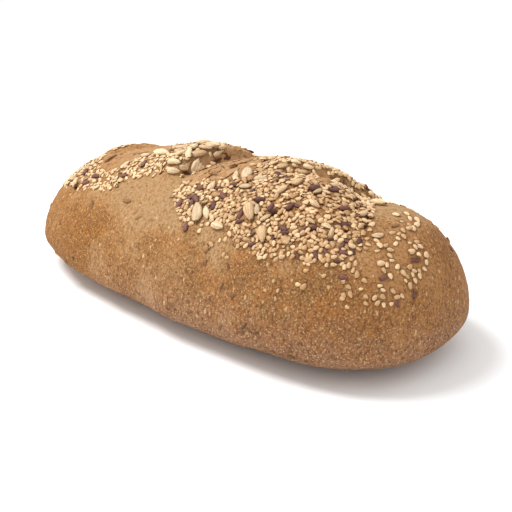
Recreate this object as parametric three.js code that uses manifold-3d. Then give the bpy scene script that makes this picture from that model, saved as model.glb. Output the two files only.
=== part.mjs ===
// A wholegrain loaf, baked on a tray: a long rounded body with a flat underside,
// three slanting slashes across the top, each with a raised ear on one side,
// and a bed of kernels and small seeds stuck to the crust.
// Millimetres, +Z up, +X along the loaf, origin in the middle of the underside.

import * as THREE from "three";
import { mergeVertices } from "three/addons/utils/BufferGeometryUtils.js";
import Module from "manifold-3d";

const wasm = await Module();
wasm.setup();

// Driving dimensions of the baked body
const LENGTH = 280;
const WIDTH = 135;
const HEIGHT = 81.3;
const BELLY = 0.244 * HEIGHT; // height of the widest line above the tray
const TOP_RISE = 0.076; // the +X end stands this share taller, the -X end lower
const SINK = 1.22; // how far the round underside would reach, before the tray flattens it

// Fullness of the outlines: 2 is an ellipse, more is blunter
const PLAN_POWER = 3.05;
const SIDE_POWER = 2.72;
const SECTION_ACROSS_POWER = 1.99;
const SECTION_TOP_POWER = 1.78;
const SECTION_UNDER_POWER = 2.17;

// Slashes: middle, slant from the X axis, half length, how far the ends bend toward the ear,
// depth of the valley and its reach, height of the ear and how far it swells the crust behind,
// and the lean: the ear is higher and its valley shallower at the +X end (or the -X end, below zero)
const SLASHES = [
  { x: -92, y: 7, slant: 55, half: 25, bend: 0, depth: 4, valley: 14, ear: 2.5, swell: 9, lean: -0.2 },
  { x: -10.3, y: -5.6, slant: 80, half: 31, bend: 0.5, depth: 5, valley: 12, ear: 3.8, swell: 25, lean: -0.1 },
  { x: 56, y: 19, slant: 51, half: 41, bend: 3, depth: 4.5, valley: 12, ear: 3, swell: 23, lean: -0.6 },
];
const EAR_WALL = 5; // width of the steep side, from the cut up to the ear's crest
// The low stretch across the loaf before its last lobe
const WAIST = { x: 88, y: 8, slant: 124, half: 45, depth: 6.5, reach: 14.5 };
const SLASHED = [0.25, 0.6]; // rise round the section over which the slashes fade in
const WAVED = [0, 12]; // height above the tray over which the dough's waves fade in

// Mesh of the body
const STATIONS = 54;
const SECTION_STEPS = 46;
// The smooth sides and the flat underside take fewer steps than the top, by the rise round the section
const DENSITIES = [
  { below: -0.2, density: 0.3 },
  { below: 0.5, density: 0.6 },
  { below: Infinity, density: 1 },
];
const OUTLINE_SAMPLES = 2000;

// Seeds: length, width, thickness, how much of the thickness is sunk in the crust, how many
const KERNEL = { size: [8.6, 4.6, 2.6], sunk: 0.4, gap: 9.8, most: 50 };
const LINSEED = { size: [4.8, 2.5, 1.5], sunk: 0.35, gap: 7, most: 36 };
const SESAME = { size: [3.3, 2.1, 1.3], sunk: 0.35, gap: 5.4, most: 62 };
const SEED_SIDES = 6;
const SEED_RINGS = 3;
const SEED_TRIES = 6000;
const BED_EDGE = 0.9; // share of the half width that no seed passes
const FRONT_TONGUE = { x: -10, reach: 22, depth: 0.36 }; // bare crust that runs up into the bed
const BACK_TONGUE = { x: 52, reach: 26, depth: 0.22 };

const HALF = LENGTH / 2;
const mix = (a, b, t) => a + (b - a) * t;
const power = (value, exponent) => Math.sign(value) * Math.abs(value) ** exponent;

function smoothStep(from, to, value) {
  const t = Math.min(1, Math.max(0, (value - from) / (to - from)));
  return t * t * (3 - 2 * t);
}

// How full the body still is at x: 1 in the middle, 0 at its ends
function fullness(x, rootPower) {
  const share = Math.min(1, Math.abs(x) / HALF);
  return (1 - share ** PLAN_POWER) ** (1 / rootPower);
}

// A point of the smooth body: x along it, angle round its section from the +Y belly over the top
function smoothPoint(x, angle) {
  const side = power(Math.cos(angle), 2 / SECTION_ACROSS_POWER);
  const rise = Math.sin(angle);
  const y = (WIDTH / 2) * fullness(x, PLAN_POWER) * side;
  const crown = HEIGHT * (1 + (TOP_RISE * x) / HALF) - BELLY;
  const lift =
    rise > 0
      ? crown * rise ** (2 / SECTION_TOP_POWER)
      : -BELLY * SINK * Math.abs(rise) ** (2 / SECTION_UNDER_POWER);
  const z = BELLY + lift * fullness(x, SIDE_POWER);
  return new THREE.Vector3(x, y, Math.max(0, z));
}

// Outward normal of a surface at x and angle, from two short steps along it
function normalOf(surface, x, angle, stepAlong, stepRound) {
  const inside = Math.max(stepAlong - HALF, Math.min(HALF - stepAlong, x));
  const along = surface(inside + stepAlong, angle).sub(surface(inside - stepAlong, angle));
  const round = surface(inside, angle + stepRound).sub(surface(inside, angle - stepRound));
  return round.cross(along).normalize();
}

// Where a point lies in a cut's own frame: its share of the half length along the cut,
// and its distance across it
function cutPlace(cut, x, y) {
  const slant = THREE.MathUtils.degToRad(cut.slant);
  const [dx, dy] = [x - cut.x, y - cut.y];
  return {
    share: (dx * Math.cos(slant) + dy * Math.sin(slant)) / cut.half,
    across: -dx * Math.sin(slant) + dy * Math.cos(slant),
  };
}

// Falls from 1 as the square of value over reach grows
const bell = (value, reach) => Math.exp(-((value / reach) ** 2));

// Valleys and ears of the slashes, as a height along the normal: each rises gently out of
// its valley on the near side, and steeply up to the ear on the other
function slashHeight(x, y) {
  const dip = cutPlace(WAIST, x, y);
  let height = -WAIST.depth * Math.max(0, 1 - dip.share ** 2) * bell(dip.across, WAIST.reach);
  for (const cut of SLASHES) {
    const place = cutPlace(cut, x, y);
    const across = place.across - cut.bend * place.share ** 2;
    const open = Math.sqrt(Math.max(0, 1 - place.share ** 2));
    const floor = -cut.depth * open * (1 - cut.lean * place.share);
    const crest = cut.ear * open * (1 + cut.lean * place.share);
    if (across < 0) height += floor * bell(across, cut.valley);
    else if (across < EAR_WALL) height += mix(floor, crest, smoothStep(0, EAR_WALL, across));
    else height += crest * bell(across - EAR_WALL, cut.swell);
  }
  return height;
}

// Unevenness of hand-shaped dough: three slow waves over the crust
function doughHeight(x, angle) {
  return (
    0.5 * Math.sin(x / 23 + 1.3 + 1.2 * Math.sin(angle)) +
    0.4 * Math.sin(x / 13 - 2 * angle + 0.6) +
    0.3 * Math.sin(x / 7.5 + 3 * angle + 2.1)
  );
}

function crustPoint(x, angle) {
  const point = smoothPoint(x, angle);
  const offTray = smoothStep(...WAVED, point.z);
  const onTop = smoothStep(...SLASHED, Math.sin(angle));
  const height =
    offTray * doughHeight(x, angle) * fullness(x, PLAN_POWER) +
    onTop * slashHeight(point.x, point.y);
  point.addScaledVector(normalOf(smoothPoint, x, angle, 0.01, 0.01), height);
  point.z = Math.max(0, point.z);
  return point;
}

// Values at equal steps along a curve, where weight says how much a stretch counts
function equalSteps(from, to, count, pointAt, weight = () => 1) {
  const walked = [0];
  let last = pointAt(from);
  for (let i = 1; i <= OUTLINE_SAMPLES; i++) {
    const value = mix(from, to, i / OUTLINE_SAMPLES);
    const point = pointAt(value);
    walked.push(walked[i - 1] + point.distanceTo(last) * weight(value));
    last = point;
  }
  const values = [];
  let i = 1;
  for (let step = 0; step <= count; step++) {
    const goal = (walked[OUTLINE_SAMPLES] * step) / count;
    while (i < OUTLINE_SAMPLES && walked[i] < goal) i++;
    const part = (goal - walked[i - 1]) / (walked[i] - walked[i - 1]);
    values.push(mix(from, to, (i - 1 + part) / OUTLINE_SAMPLES));
  }
  return values;
}

// The body's closed mesh: rings round the section, with one point at each end
function bodyGeometry() {
  const planPoint = (x) => new THREE.Vector3(x, (WIDTH / 2) * fullness(x, PLAN_POWER), 0);
  const stations = equalSteps(-HALF, HALF, STATIONS, planPoint).slice(1, -1);
  const density = (angle) => DENSITIES.find(({ below }) => Math.sin(angle) < below).density;
  const angles = equalSteps(
    0,
    2 * Math.PI,
    SECTION_STEPS,
    (angle) => smoothPoint(0, angle),
    density,
  ).slice(0, -1);

  const positions = [-HALF, 0, BELLY];
  for (const x of stations)
    for (const angle of angles) positions.push(...crustPoint(x, angle).toArray());
  positions.push(HALF, 0, BELLY);

  const around = angles.length;
  const lastPoint = positions.length / 3 - 1;
  const at = (ring, step) => 1 + ring * around + (step % around);
  const faces = [];
  for (let step = 0; step < around; step++) {
    faces.push(0, at(0, step + 1), at(0, step));
    const ring = stations.length - 1;
    faces.push(lastPoint, at(ring, step), at(ring, step + 1));
  }
  for (let ring = 0; ring + 1 < stations.length; ring++)
    for (let step = 0; step < around; step++) {
      const [a, b] = [at(ring, step), at(ring, step + 1)];
      const [c, d] = [at(ring + 1, step), at(ring + 1, step + 1)];
      faces.push(a, b, c, b, d, c); // split along the slashes, not across them
    }
  return new THREE.BufferGeometry()
    .setAttribute("position", new THREE.Float32BufferAttribute(positions, 3))
    .setIndex(faces);
}

// A seed: a low sphere drawn out to its size, with one end narrowed like a drop
function seedGeometry([length, width, thickness]) {
  const geometry = new THREE.SphereGeometry(1, SEED_SIDES, SEED_RINGS).rotateZ(-Math.PI / 2);
  const position = geometry.getAttribute("position");
  for (let i = 0; i < position.count; i++) {
    const narrow = 1 - 0.3 * position.getX(i);
    position.setXYZ(
      i,
      (position.getX(i) * length) / 2,
      (position.getY(i) * narrow * width) / 2,
      (position.getZ(i) * narrow * thickness) / 2,
    );
  }
  return geometry;
}

// Widest share of the half width that seeds reach: +Y side and -Y side.
// On each side a tongue of bare crust runs up into the bed.
function bedReach(x, side) {
  const tongue = side < 0 ? FRONT_TONGUE : BACK_TONGUE;
  const wide = side < 0 ? mix(0.72, 0.86, smoothStep(-10, 40, x)) : 0.76;
  return wide - tongue.depth * Math.exp(-(((x - tongue.x) / tongue.reach) ** 2));
}

// A seeded generator, so that every build gives the same loaf
function seededRandom(seed) {
  let state = seed;
  return () => {
    state = (state + 0x6d2b79f5) | 0;
    let t = Math.imul(state ^ (state >>> 15), 1 | state);
    t = (t + Math.imul(t ^ (t >>> 7), 61 | t)) ^ t;
    return ((t ^ (t >>> 14)) >>> 0) / 4294967296;
  };
}

// Even spots over the bed: a low-discrepancy walk that keeps clear of the spots already taken
const taken = [];
function spots({ gap, most }, first, last, start) {
  const found = [];
  for (let n = start; found.length < most && n < start + SEED_TRIES; n++) {
    const x = mix(first, last, (n * 0.7548776662) % 1);
    const share = mix(-BED_EDGE, BED_EDGE, (n * 0.569840291) % 1);
    if (Math.abs(share) > bedReach(x, share)) continue;
    const angle = Math.acos(share);
    const point = crustPoint(x, angle);
    if (taken.some((t) => t.point.distanceTo(point) < (gap + t.gap) / 2)) continue;
    found.push({ x, angle, point, gap });
    taken.push({ point, gap });
  }
  return found;
}

// A kind of seed, laid flat on the crust at its spots, each turned its own way
function layKind(kind, first, last, start, random) {
  const thickness = kind.size[2];
  return spots(kind, first, last, start).map(({ x, angle, point }) => {
    const normal = normalOf(crustPoint, x, angle, 2, 0.04);
    const turn = new THREE.Quaternion().setFromAxisAngle(
      new THREE.Vector3(0, 0, 1),
      random() * 2 * Math.PI,
    );
    const lie = new THREE.Quaternion().setFromUnitVectors(new THREE.Vector3(0, 0, 1), normal);
    const centre = point.addScaledVector(normal, thickness * (0.5 - kind.sunk));
    const place = new THREE.Matrix4().compose(
      centre,
      lie.multiply(turn),
      new THREE.Vector3(1, 1, 1).multiplyScalar(mix(0.88, 1.12, random())),
    );
    return solidOf(seedGeometry(kind.size).applyMatrix4(place));
  });
}

function solidOf(geometry) {
  geometry.deleteAttribute("normal");
  geometry.deleteAttribute("uv");
  const merged = mergeVertices(geometry, 1e-4);
  return new wasm.Manifold(
    new wasm.Mesh({
      numProp: 3,
      vertProperties: new Float32Array(merged.getAttribute("position").array),
      triVerts: new Uint32Array(merged.index.array),
    }),
  );
}

function geometryOf(solid) {
  const mesh = solid.getMesh();
  return new THREE.BufferGeometry()
    .setAttribute("position", new THREE.BufferAttribute(new Float32Array(mesh.vertProperties), 3))
    .setIndex(new THREE.BufferAttribute(new Uint32Array(mesh.triVerts), 1));
}

// Body and seeds as one solid, set down with the middle of its underside at the origin
function loafGeometry() {
  const random = seededRandom(7);
  const seeds = [
    ...layKind(KERNEL, -122, 96, 1, random),
    ...layKind(LINSEED, -118, 122, 5000, random),
    ...layKind(SESAME, -124, 132, 9000, random),
  ];
  const fused = wasm.Manifold.union([solidOf(bodyGeometry()), ...seeds]);
  // A seed that stands clear over a valley is left out
  const [whole] = fused.decompose().sort((a, b) => b.volume() - a.volume());
  const geometry = geometryOf(whole);
  geometry.computeBoundingBox();
  const { min, max } = geometry.boundingBox;
  geometry.translate(-(min.x + max.x) / 2, -(min.y + max.y) / 2, -min.z);
  geometry.computeVertexNormals();
  return geometry;
}

const crust = new THREE.MeshStandardMaterial({
  color: 0xb98a58,
  roughness: 0.85,
  metalness: 0,
});

const loaf = new THREE.Mesh(loafGeometry(), crust);
loaf.name = "loaf";

const grainBread = new THREE.Group();
grainBread.add(loaf);

export default grainBread;
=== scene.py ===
import functools
import math
from typing import NamedTuple

import bpy
import numpy as np
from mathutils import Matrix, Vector


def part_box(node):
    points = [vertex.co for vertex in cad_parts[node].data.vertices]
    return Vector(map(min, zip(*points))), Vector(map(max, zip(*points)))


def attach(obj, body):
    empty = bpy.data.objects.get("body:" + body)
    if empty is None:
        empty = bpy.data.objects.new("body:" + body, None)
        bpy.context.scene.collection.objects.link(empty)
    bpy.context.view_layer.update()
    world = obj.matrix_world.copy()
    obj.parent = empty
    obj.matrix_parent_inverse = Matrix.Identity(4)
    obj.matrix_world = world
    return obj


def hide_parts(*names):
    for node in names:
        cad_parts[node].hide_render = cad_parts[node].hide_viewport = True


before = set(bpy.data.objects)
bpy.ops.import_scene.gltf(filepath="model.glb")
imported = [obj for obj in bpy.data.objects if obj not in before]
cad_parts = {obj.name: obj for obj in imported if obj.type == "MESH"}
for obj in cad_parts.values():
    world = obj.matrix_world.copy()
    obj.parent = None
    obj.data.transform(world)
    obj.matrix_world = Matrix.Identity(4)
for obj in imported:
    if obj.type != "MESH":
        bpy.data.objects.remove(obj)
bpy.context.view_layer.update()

bl_info = {
    "name": "Grain Bread",
    "version": (1, 0, 0),
    "blender": (4, 5, 0),
    "location": "3D View > Sidebar > Grain Bread",
    "description": "A long wholegrain loaf, slashed and covered with kernels and seeds",
    "category": "Object",
}

MM = 0.001

# The baked body, as in the solid: its size, the height of its widest line, how much its top rises
# towards +X, how many times that height it would reach down if the tray didn't cut it flat, and the
# powers of its outlines: in plan, from the side, and round the section at the belly, top and underside
LOAF_LOW, LOAF_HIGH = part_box("loaf")
LENGTH = LOAF_HIGH[0] - LOAF_LOW[0]
HALF = LENGTH / 2
WIDTH = 135 * MM
HEIGHT = 81.3 * MM
BELLY = 0.244 * HEIGHT
TOP_RISE = 0.076
SINK = 1.22
PLAN_POWER = 3.05
SIDE_POWER = 2.72
ACROSS_POWER = 1.99
TOP_POWER = 1.78
UNDER_POWER = 2.17
SLASHED = (0.25, 0.6)  # sines of the section's angle between which the slashes come in
WAVED = (0.0, 12 * MM)  # heights over the tray between which waves and pits come in


class Slash(NamedTuple):
    """One cut across the top, in metres and degrees: its middle, its slant from the X axis, half its
    length and the bend of its ends; the depth and the reach of its valley; the height and the reach of
    the ear behind it, and how much one end of it is higher; between which distances across the cut the
    dough is torn at the back and how much; and how much the torn dough differs from the crust."""

    x: float
    y: float
    slant: float
    half: float
    bend: float
    depth: float
    valley: float
    ear: float
    swell: float
    lean: float
    torn_from: float
    torn_to: float
    bare: float
    tint: float


SLASHES = (
    Slash(
        x=-92 * MM, y=7 * MM, slant=55, half=25 * MM, bend=0, depth=4 * MM, valley=14 * MM, ear=2.5 * MM,
        swell=9 * MM, lean=-0.2, torn_from=-9 * MM, torn_to=13 * MM, bare=0.95, tint=0.55,
    ),
    Slash(
        x=-10.3 * MM, y=-5.6 * MM, slant=80, half=31 * MM, bend=0.5 * MM, depth=5 * MM, valley=12 * MM,
        ear=3.8 * MM, swell=25 * MM, lean=-0.1, torn_from=-29 * MM, torn_to=8.5 * MM, bare=1.0, tint=1.0,
    ),
    Slash(
        x=56 * MM, y=19 * MM, slant=51, half=41 * MM, bend=3 * MM, depth=4.5 * MM, valley=12 * MM,
        ear=3 * MM, swell=23 * MM, lean=-0.6, torn_from=-3 * MM, torn_to=8.5 * MM, bare=0.2, tint=0.8,
    ),
)
WALL = (-1.5 * MM, 7 * MM)  # distances across a slash between which its wall rises to the ear
OVERHANG = 2.4 * MM  # how far an ear leans over its valley
CREST = 2.6 * MM  # how far behind the wall that lean dies out
STRAND = 0.8 * MM  # height of the strands of torn dough
# Crevices along a wall: place across the slash, half width, and depth in millimetres
CREVICES = ((-4.4 * MM, 1.3 * MM, 0.7), (0.2 * MM, 1.5 * MM, 1.3), (4.4 * MM, 1.3 * MM, 1.0))


class Waist(NamedTuple):
    """The low stretch across the loaf before its last lobe: its middle, its slant from the X axis, half
    its length, the bend of its ends, its depth and how far it reaches to either side."""

    x: float
    y: float
    slant: float
    half: float
    bend: float
    depth: float
    reach: float


WAIST = Waist(x=88 * MM, y=8 * MM, slant=124, half=45 * MM, bend=0, depth=6.5 * MM, reach=14.5 * MM)


class Patch(NamedTuple):
    """An area of the top: an ellipse in plan, in millimetres and degrees, and how strong it is."""

    x: float
    y: float
    slant: float
    half_length: float
    half_width: float
    share: float


BARE_PATCHES = (Patch(66, 2, 20, 9, 5, 0.7),)
KERNEL_PATCHES = (
    Patch(-22, -9, 20, 22, 15, 1.0),
    Patch(-95, -33, 10, 16, 10, 0.35),
    Patch(18, -26, 40, 14, 11, 0.45),
    Patch(2, -44, 0, 16, 9, 0.3),
)

# The camera: degrees round and above the loaf, metres to its aim, which lies this far right of, above
# and over the origin, and its lens and sensor in millimetres
AZIMUTH = 43.94
ELEVATION = 21.51
DISTANCE = 0.5131
AIM_RIGHT = 0.0121
AIM_UP = -0.0160
AIM_HEIGHT = 0.040
LENS = 63.18
SENSOR = 36.0
PICTURE = 512

# Points of the crust's mesh along and round the loaf, how closely they lie round it by the sine of the
# section's angle, and samples of a curve that is cut into equal steps
STATIONS = 360
AROUND = 272
CLOSENESS = ((-0.4, 0.2), (-0.1, 0.6), (0.35, 0.7), (0.6, 1.6))
OUTLINE_SAMPLES = 4000
# The grid on which places in the picture are looked up, and the column of cells that don't count
LOOKUP_STATIONS = 340
LOOKUP_AROUND = 300
LOOKUP_ANGLES = (-0.9, math.pi + 0.9)
FAR_OFF = 1e6
# Half chords that give the normals of the plain loaf
CHORD_ALONG = 0.01 * MM
CHORD_ROUND = 0.01
# Slopes that the corners of the noise lattice share, and the factors that mix a corner's numbers
NOISE_SLOPES = 4096
NOISE_FACTORS = (73856093, 19349663, 83492791)
# The ragged rim just above the tray, and the small pits
RIM_HEIGHT = 1 * MM
RIM_REACH = 6.5 * MM
PIT_DEPTH = 0.7 * MM


def power(value, exponent):
    """The value raised to a power, with its sign kept."""
    return np.sign(value) * np.abs(value) ** exponent


def smooth_step(low, high, value):
    """0 up to low, 1 from high on, and 3t^2 - 2t^3 between them, or falling where low is the larger."""
    t = np.clip((value - low) / (high - low), 0, 1)
    return t * t * (3 - 2 * t)


def bump(value, reach):
    """A bell: 1 where the value is 0, falling as the square of value over reach grows."""
    return np.exp(-((value / reach) ** 2))


def mix(a, b, t):
    """The value that lies a share t of the way from a to b."""
    return a + (b - a) * t


def unit(vectors):
    """Vectors divided by their lengths."""
    return vectors / np.maximum(np.linalg.norm(vectors, axis=-1, keepdims=True), 1e-12)


def lattice_noise(points, cell, seed):
    """Smooth random relief, about -1 to 1: a random slope at each corner of a cubic lattice, blended
    across the cell by 6t^5 - 15t^4 + 10t^3 along each axis. The seed picks the pattern."""
    slopes = np.random.default_rng(seed).normal(size=(NOISE_SLOPES, 3))
    slopes /= np.linalg.norm(slopes, axis=1, keepdims=True)
    scaled = points / cell
    corner = np.floor(scaled).astype(np.int64)
    part = scaled - corner
    fade = part**3 * (part * (part * 6 - 15) + 10)
    total = np.zeros(points.shape[:-1])
    for offset in np.ndindex(2, 2, 2):
        mixed = (corner + offset) * NOISE_FACTORS
        key = (mixed[..., 0] ^ mixed[..., 1] ^ mixed[..., 2]) % NOISE_SLOPES
        weight = np.prod(np.where(np.array(offset) == 1, fade, 1 - fade), axis=-1)
        total += weight * ((part - offset) * slopes[key]).sum(-1)
    return 1.6 * total


def fractal(points, cell, seed, octaves=3):
    """Lattice noise plus finer copies, each with half the cell and half the height."""
    return sum(lattice_noise(points, cell / 2**k, seed + k) / 2**k for k in range(octaves))


def camera_axes(azimuth, elevation):
    """Unit vectors towards the camera, to its right and upward in its picture."""
    level = math.cos(elevation)
    back = np.array([math.sin(azimuth) * level, -math.cos(azimuth) * level, math.sin(elevation)])
    right = np.array([math.cos(azimuth), math.sin(azimuth), 0])
    return back, right, np.cross(back, right)


def seen_from_camera(points):
    """Columns and rows of points in the picture, and each point's vector to the camera: a pinhole
    projection, the sideways and upward distances over the depth times the focal length in pixels."""
    back, right, up = camera_axes(math.radians(AZIMUTH), math.radians(ELEVATION))
    eye = np.array([0, 0, AIM_HEIGHT]) + right * AIM_RIGHT + up * AIM_UP + back * DISTANCE
    away = points - eye
    depth = -(away @ back)
    focal = PICTURE * LENS / SENSOR
    return PICTURE / 2 + focal * (away @ right) / depth, PICTURE / 2 - focal * (away @ up) / depth, -away


def equal_steps(low, high, count, curve, density=None):
    """Values at equal steps along a curve; density says how much each stretch counts."""
    values = np.linspace(low, high, OUTLINE_SAMPLES)
    steps = np.linalg.norm(np.diff(curve(values), axis=0), axis=1)
    if density is not None:
        steps = steps * density((values[1:] + values[:-1]) / 2)
    walked = np.concatenate([[0], np.cumsum(steps)])
    return np.interp(np.linspace(0, walked[-1], count), walked, values)


def fullness(x, root_power):
    """How full the body still is at x: one minus the share of the half length to PLAN_POWER, rooted."""
    share = np.clip(np.abs(x) / HALF, 0, 1)
    return (1 - share**PLAN_POWER) ** (1 / root_power)


def smooth_body(x, angle):
    """The plain loaf: a superellipse section, its angle running from the +Y belly over the top, carried
    along X with superellipse outlines in plan and from the side, and cut flat at the tray."""
    rise = np.sin(angle)
    y = WIDTH / 2 * fullness(x, PLAN_POWER) * power(np.cos(angle), 2 / ACROSS_POWER)
    crown = (HEIGHT * (1 + TOP_RISE * x / HALF) - BELLY) * np.abs(rise) ** (2 / TOP_POWER)
    keel = -BELLY * SINK * np.abs(rise) ** (2 / UNDER_POWER)
    z = BELLY + np.where(rise > 0, crown, keel) * fullness(x, SIDE_POWER)
    return np.stack([x + 0 * y, y, np.maximum(z, 0)], axis=-1)


def body_normals(x, angle):
    """Outward normals of the plain loaf: the cross product of two short chords, round it and along it."""
    inside = np.clip(x, CHORD_ALONG - HALF, HALF - CHORD_ALONG)
    along = smooth_body(inside + CHORD_ALONG, angle) - smooth_body(inside - CHORD_ALONG, angle)
    round_it = smooth_body(inside, angle + CHORD_ROUND) - smooth_body(inside, angle - CHORD_ROUND)
    return unit(np.cross(round_it, along))


def slash_place(cut, x, y):
    """Where a point lies in a slash's own frame, turned by its slant: the share of its half length, and
    the distance across it, positive on the ear's side and measured from the bent line."""
    slant = math.radians(cut.slant)
    share = ((x - cut.x) * math.cos(slant) + (y - cut.y) * math.sin(slant)) / cut.half
    across = -(x - cut.x) * math.sin(slant) + (y - cut.y) * math.cos(slant) - cut.bend * share**2
    return share, across


def patch_share(patches, x, y, points, low=1.1, high=0.8):
    """How far a place lies in the patches: their share in the middle, 0 outside, with a ragged edge."""
    ragged = 0.22 * lattice_noise(points, 7 * MM, 14)
    found = np.zeros(x.shape)
    for patch in patches:
        slant = math.radians(patch.slant)
        dx, dy = x / MM - patch.x, y / MM - patch.y
        along = (dx * math.cos(slant) + dy * math.sin(slant)) / patch.half_length
        across = (dy * math.cos(slant) - dx * math.sin(slant)) / patch.half_width
        found = np.maximum(found, patch.share * smooth_step(low, high, np.hypot(along, across) + ragged))
    return found


class Relief(NamedTuple):
    """What the slashes do to the crust: height along the normal, sideways lean, and masks for torn
    dough and for the shade painted in the crevices under the ears."""

    height: np.ndarray
    lean: np.ndarray
    torn: np.ndarray
    deep_shade: np.ndarray


# Outlines in the picture of the dough that each slash bares, where the camera sees it
BARED = (
    (
        (99, 166), (104, 158), (109, 152), (117, 149), (122, 146), (133, 144), (146, 139), (162, 139),
        (172, 144), (172, 151), (160, 152), (153, 154), (148, 158), (138, 158), (132, 161), (126, 162),
        (120, 166), (112, 169), (103, 170),
    ),
    (
        (198, 157), (206, 157), (213, 157), (220, 152), (226, 146), (238, 146), (248, 150), (260, 156),
        (264, 163), (256, 168), (246, 168), (240, 173), (233, 180), (224, 182), (214, 181), (204, 180),
        (199, 184), (190, 185), (184, 181), (189, 176), (196, 176), (201, 171), (200, 163),
    ),
    ((315, 170), (330, 166), (346, 169), (345, 173), (333, 175), (330, 182), (318, 180)),
)
HIDDEN = (14 * MM, 22 * MM)  # beyond this far to the back the slashes are out of the camera's sight


def slash_relief(points, normal):
    """Each slash rises gently out of its valley on the near side and up a torn wall to the ear, whose
    crest leans over the valley. Strands of torn dough run along it, as ridges drawn out of the noise
    along the cut, and where the camera doesn't see it broken crevices run along the wall, with shade
    painted into them."""
    x, y = points[..., 0], points[..., 1]
    ragged = 1.2 * MM * lattice_noise(points, 9 * MM, 11) + 0.6 * MM * lattice_noise(points, 3 * MM, 12)
    share, across = slash_place(WAIST, x, y)
    height = -WAIST.depth * np.clip(1 - share**2, 0, 1) * bump(across, WAIST.reach)
    lean = np.zeros(points.shape)
    frames = []
    for cut in SLASHES:
        share, across = slash_place(cut, x, y)
        across = across + ragged
        opening = np.sqrt(np.clip(1 - share**2, 0, 1)) * smooth_step(-1.0, -0.6, share)
        floor = -cut.depth * opening * (1 - cut.lean * share)
        crest = cut.ear * opening * (1 + cut.lean * share)
        wall = smooth_step(*WALL, across)
        near_side = floor * bump(np.minimum(across, 0), cut.valley)
        far_side = crest * bump(np.maximum(across - WALL[1], 0), cut.swell)
        height += mix(near_side, far_side, wall)
        slant = math.radians(cut.slant)
        toward_valley = np.array([math.sin(slant), -math.cos(slant), 0])
        crest_band = wall * bump(np.maximum(across - WALL[1], 0), CREST)
        lean += (OVERHANG * opening * crest_band)[..., None] * toward_valley
        frames.append((share, across, opening))

    column, row, _ = seen_from_camera(points + normal * height[..., None] + lean)
    hidden = smooth_step(*HIDDEN, y)
    torn = np.zeros(x.shape)
    deep_shade = np.zeros(x.shape)
    for number, (cut, outline, (share, across, opening)) in enumerate(zip(SLASHES, BARED, frames)):
        open_here = smooth_step(0.12, 0.45, opening)
        near = cut.torn_from * opening**2
        beyond = smooth_step(near, near + 3 * MM, across + 1.5 * ragged) * open_here
        beyond = beyond * smooth_step(cut.torn_to, cut.torn_to - 2 * MM, across)
        seen = smooth_step(-1.2, 1.5, outline_distance(outline, column, row) + 1.2 * ragged / MM)
        bared = mix(seen, cut.bare * beyond, hidden)
        torn = np.maximum(torn, cut.tint * bared)
        drawn = np.stack([share * cut.half / 4, across, points[..., 2] * 0.3], axis=-1)
        strands = 0.6 - 2 * np.abs(lattice_noise(drawn, 4.2 * MM, 31 + number))
        strands += 0.4 - np.abs(lattice_noise(drawn, 1.9 * MM, 41 + number))
        height += STRAND * strands * bared
        for step, (place, reach, depth) in enumerate(CREVICES):
            wander = place + 1.6 * MM * lattice_noise(drawn, 7 * MM, 51 + 10 * step + number)
            broken = smooth_step(-0.25, 0.25, lattice_noise(drawn, 5 * MM, 61 + 10 * step + number))
            crevice = bump(across - wander, reach) * broken * open_here * hidden
            height -= depth * MM * crevice
            # painted shade in the crevice along the wall
            deep_shade = np.maximum(deep_shade, 0.62 * crevice)
    return Relief(height, lean, torn, deep_shade)


# Cavities under the lips of torn dough and between the seeds, hollowed in the crust and with their
# shade painted dark: both ends in the picture, the left one first, and half the height there, in pixels
CAVITIES = (
    (210, 163, 223, 158, 1.8), (223, 159, 231, 156, 1.5), (221, 154, 229, 153, 1.0),
    (229, 167, 238, 165, 1.6), (220, 165, 226, 169, 0.8), (207, 173, 219, 175, 0.9),
    (209, 170, 213, 168, 0.9), (181, 172, 191, 174, 1.8), (189, 183, 193, 180, 0.9),
    (196, 174, 199, 171, 0.9), (228, 177, 231, 181, 0.8), (231, 186, 238, 184, 1.1),
    (181, 157, 183, 160, 0.8), (174, 161, 185, 163, 0.9), (199, 148, 208, 150, 0.8),
    (104, 162, 119, 153, 1.5), (112, 155, 131, 150, 1.1), (135, 152, 149, 150, 0.7),
    (106, 164, 110, 163, 0.6), (132, 154, 136, 152, 0.6), (149, 149, 153, 149, 0.8),
    (168, 150, 177, 151, 0.9), (327, 182, 334, 180, 0.8), (329, 176, 342, 178, 0.9),
    (338, 180, 346, 178, 1.0), (339, 187, 347, 182, 1.8), (351, 183, 356, 191, 1.2),
    (351, 201, 359, 198, 1.8), (353, 206, 358, 208, 1.6), (361, 188, 371, 191, 2.0),
    (366, 192, 371, 195, 1.4), (362, 221, 368, 216, 1.5), (340, 211, 351, 211, 0.8),
    (343, 231, 350, 229, 1.2), (362, 226, 368, 225, 1.4), (314, 193, 317, 189, 1.3),
    (328, 236, 333, 233, 1.3), (276, 183, 280, 177, 1.1), (268, 215, 279, 211, 1.5),
    (288, 210, 293, 206, 0.8), (298, 167, 303, 168, 0.8), (256, 203, 265, 201, 0.9),
    (411, 259, 418, 262, 1.7), (413, 290, 415, 297, 1.2), (280, 236, 288, 234, 1.0),
    (308, 229, 316, 229, 0.9), (242, 183, 249, 181, 0.7), (198, 190, 204, 189, 1.5),
    (240, 155, 250, 156, 0.8), (251, 160, 255, 159, 0.8), (230, 190, 236, 189, 0.9),
    (73, 186, 78, 188, 1.1), (85, 183, 90, 181, 0.9), (158, 170, 161, 169, 0.9),
)
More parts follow.
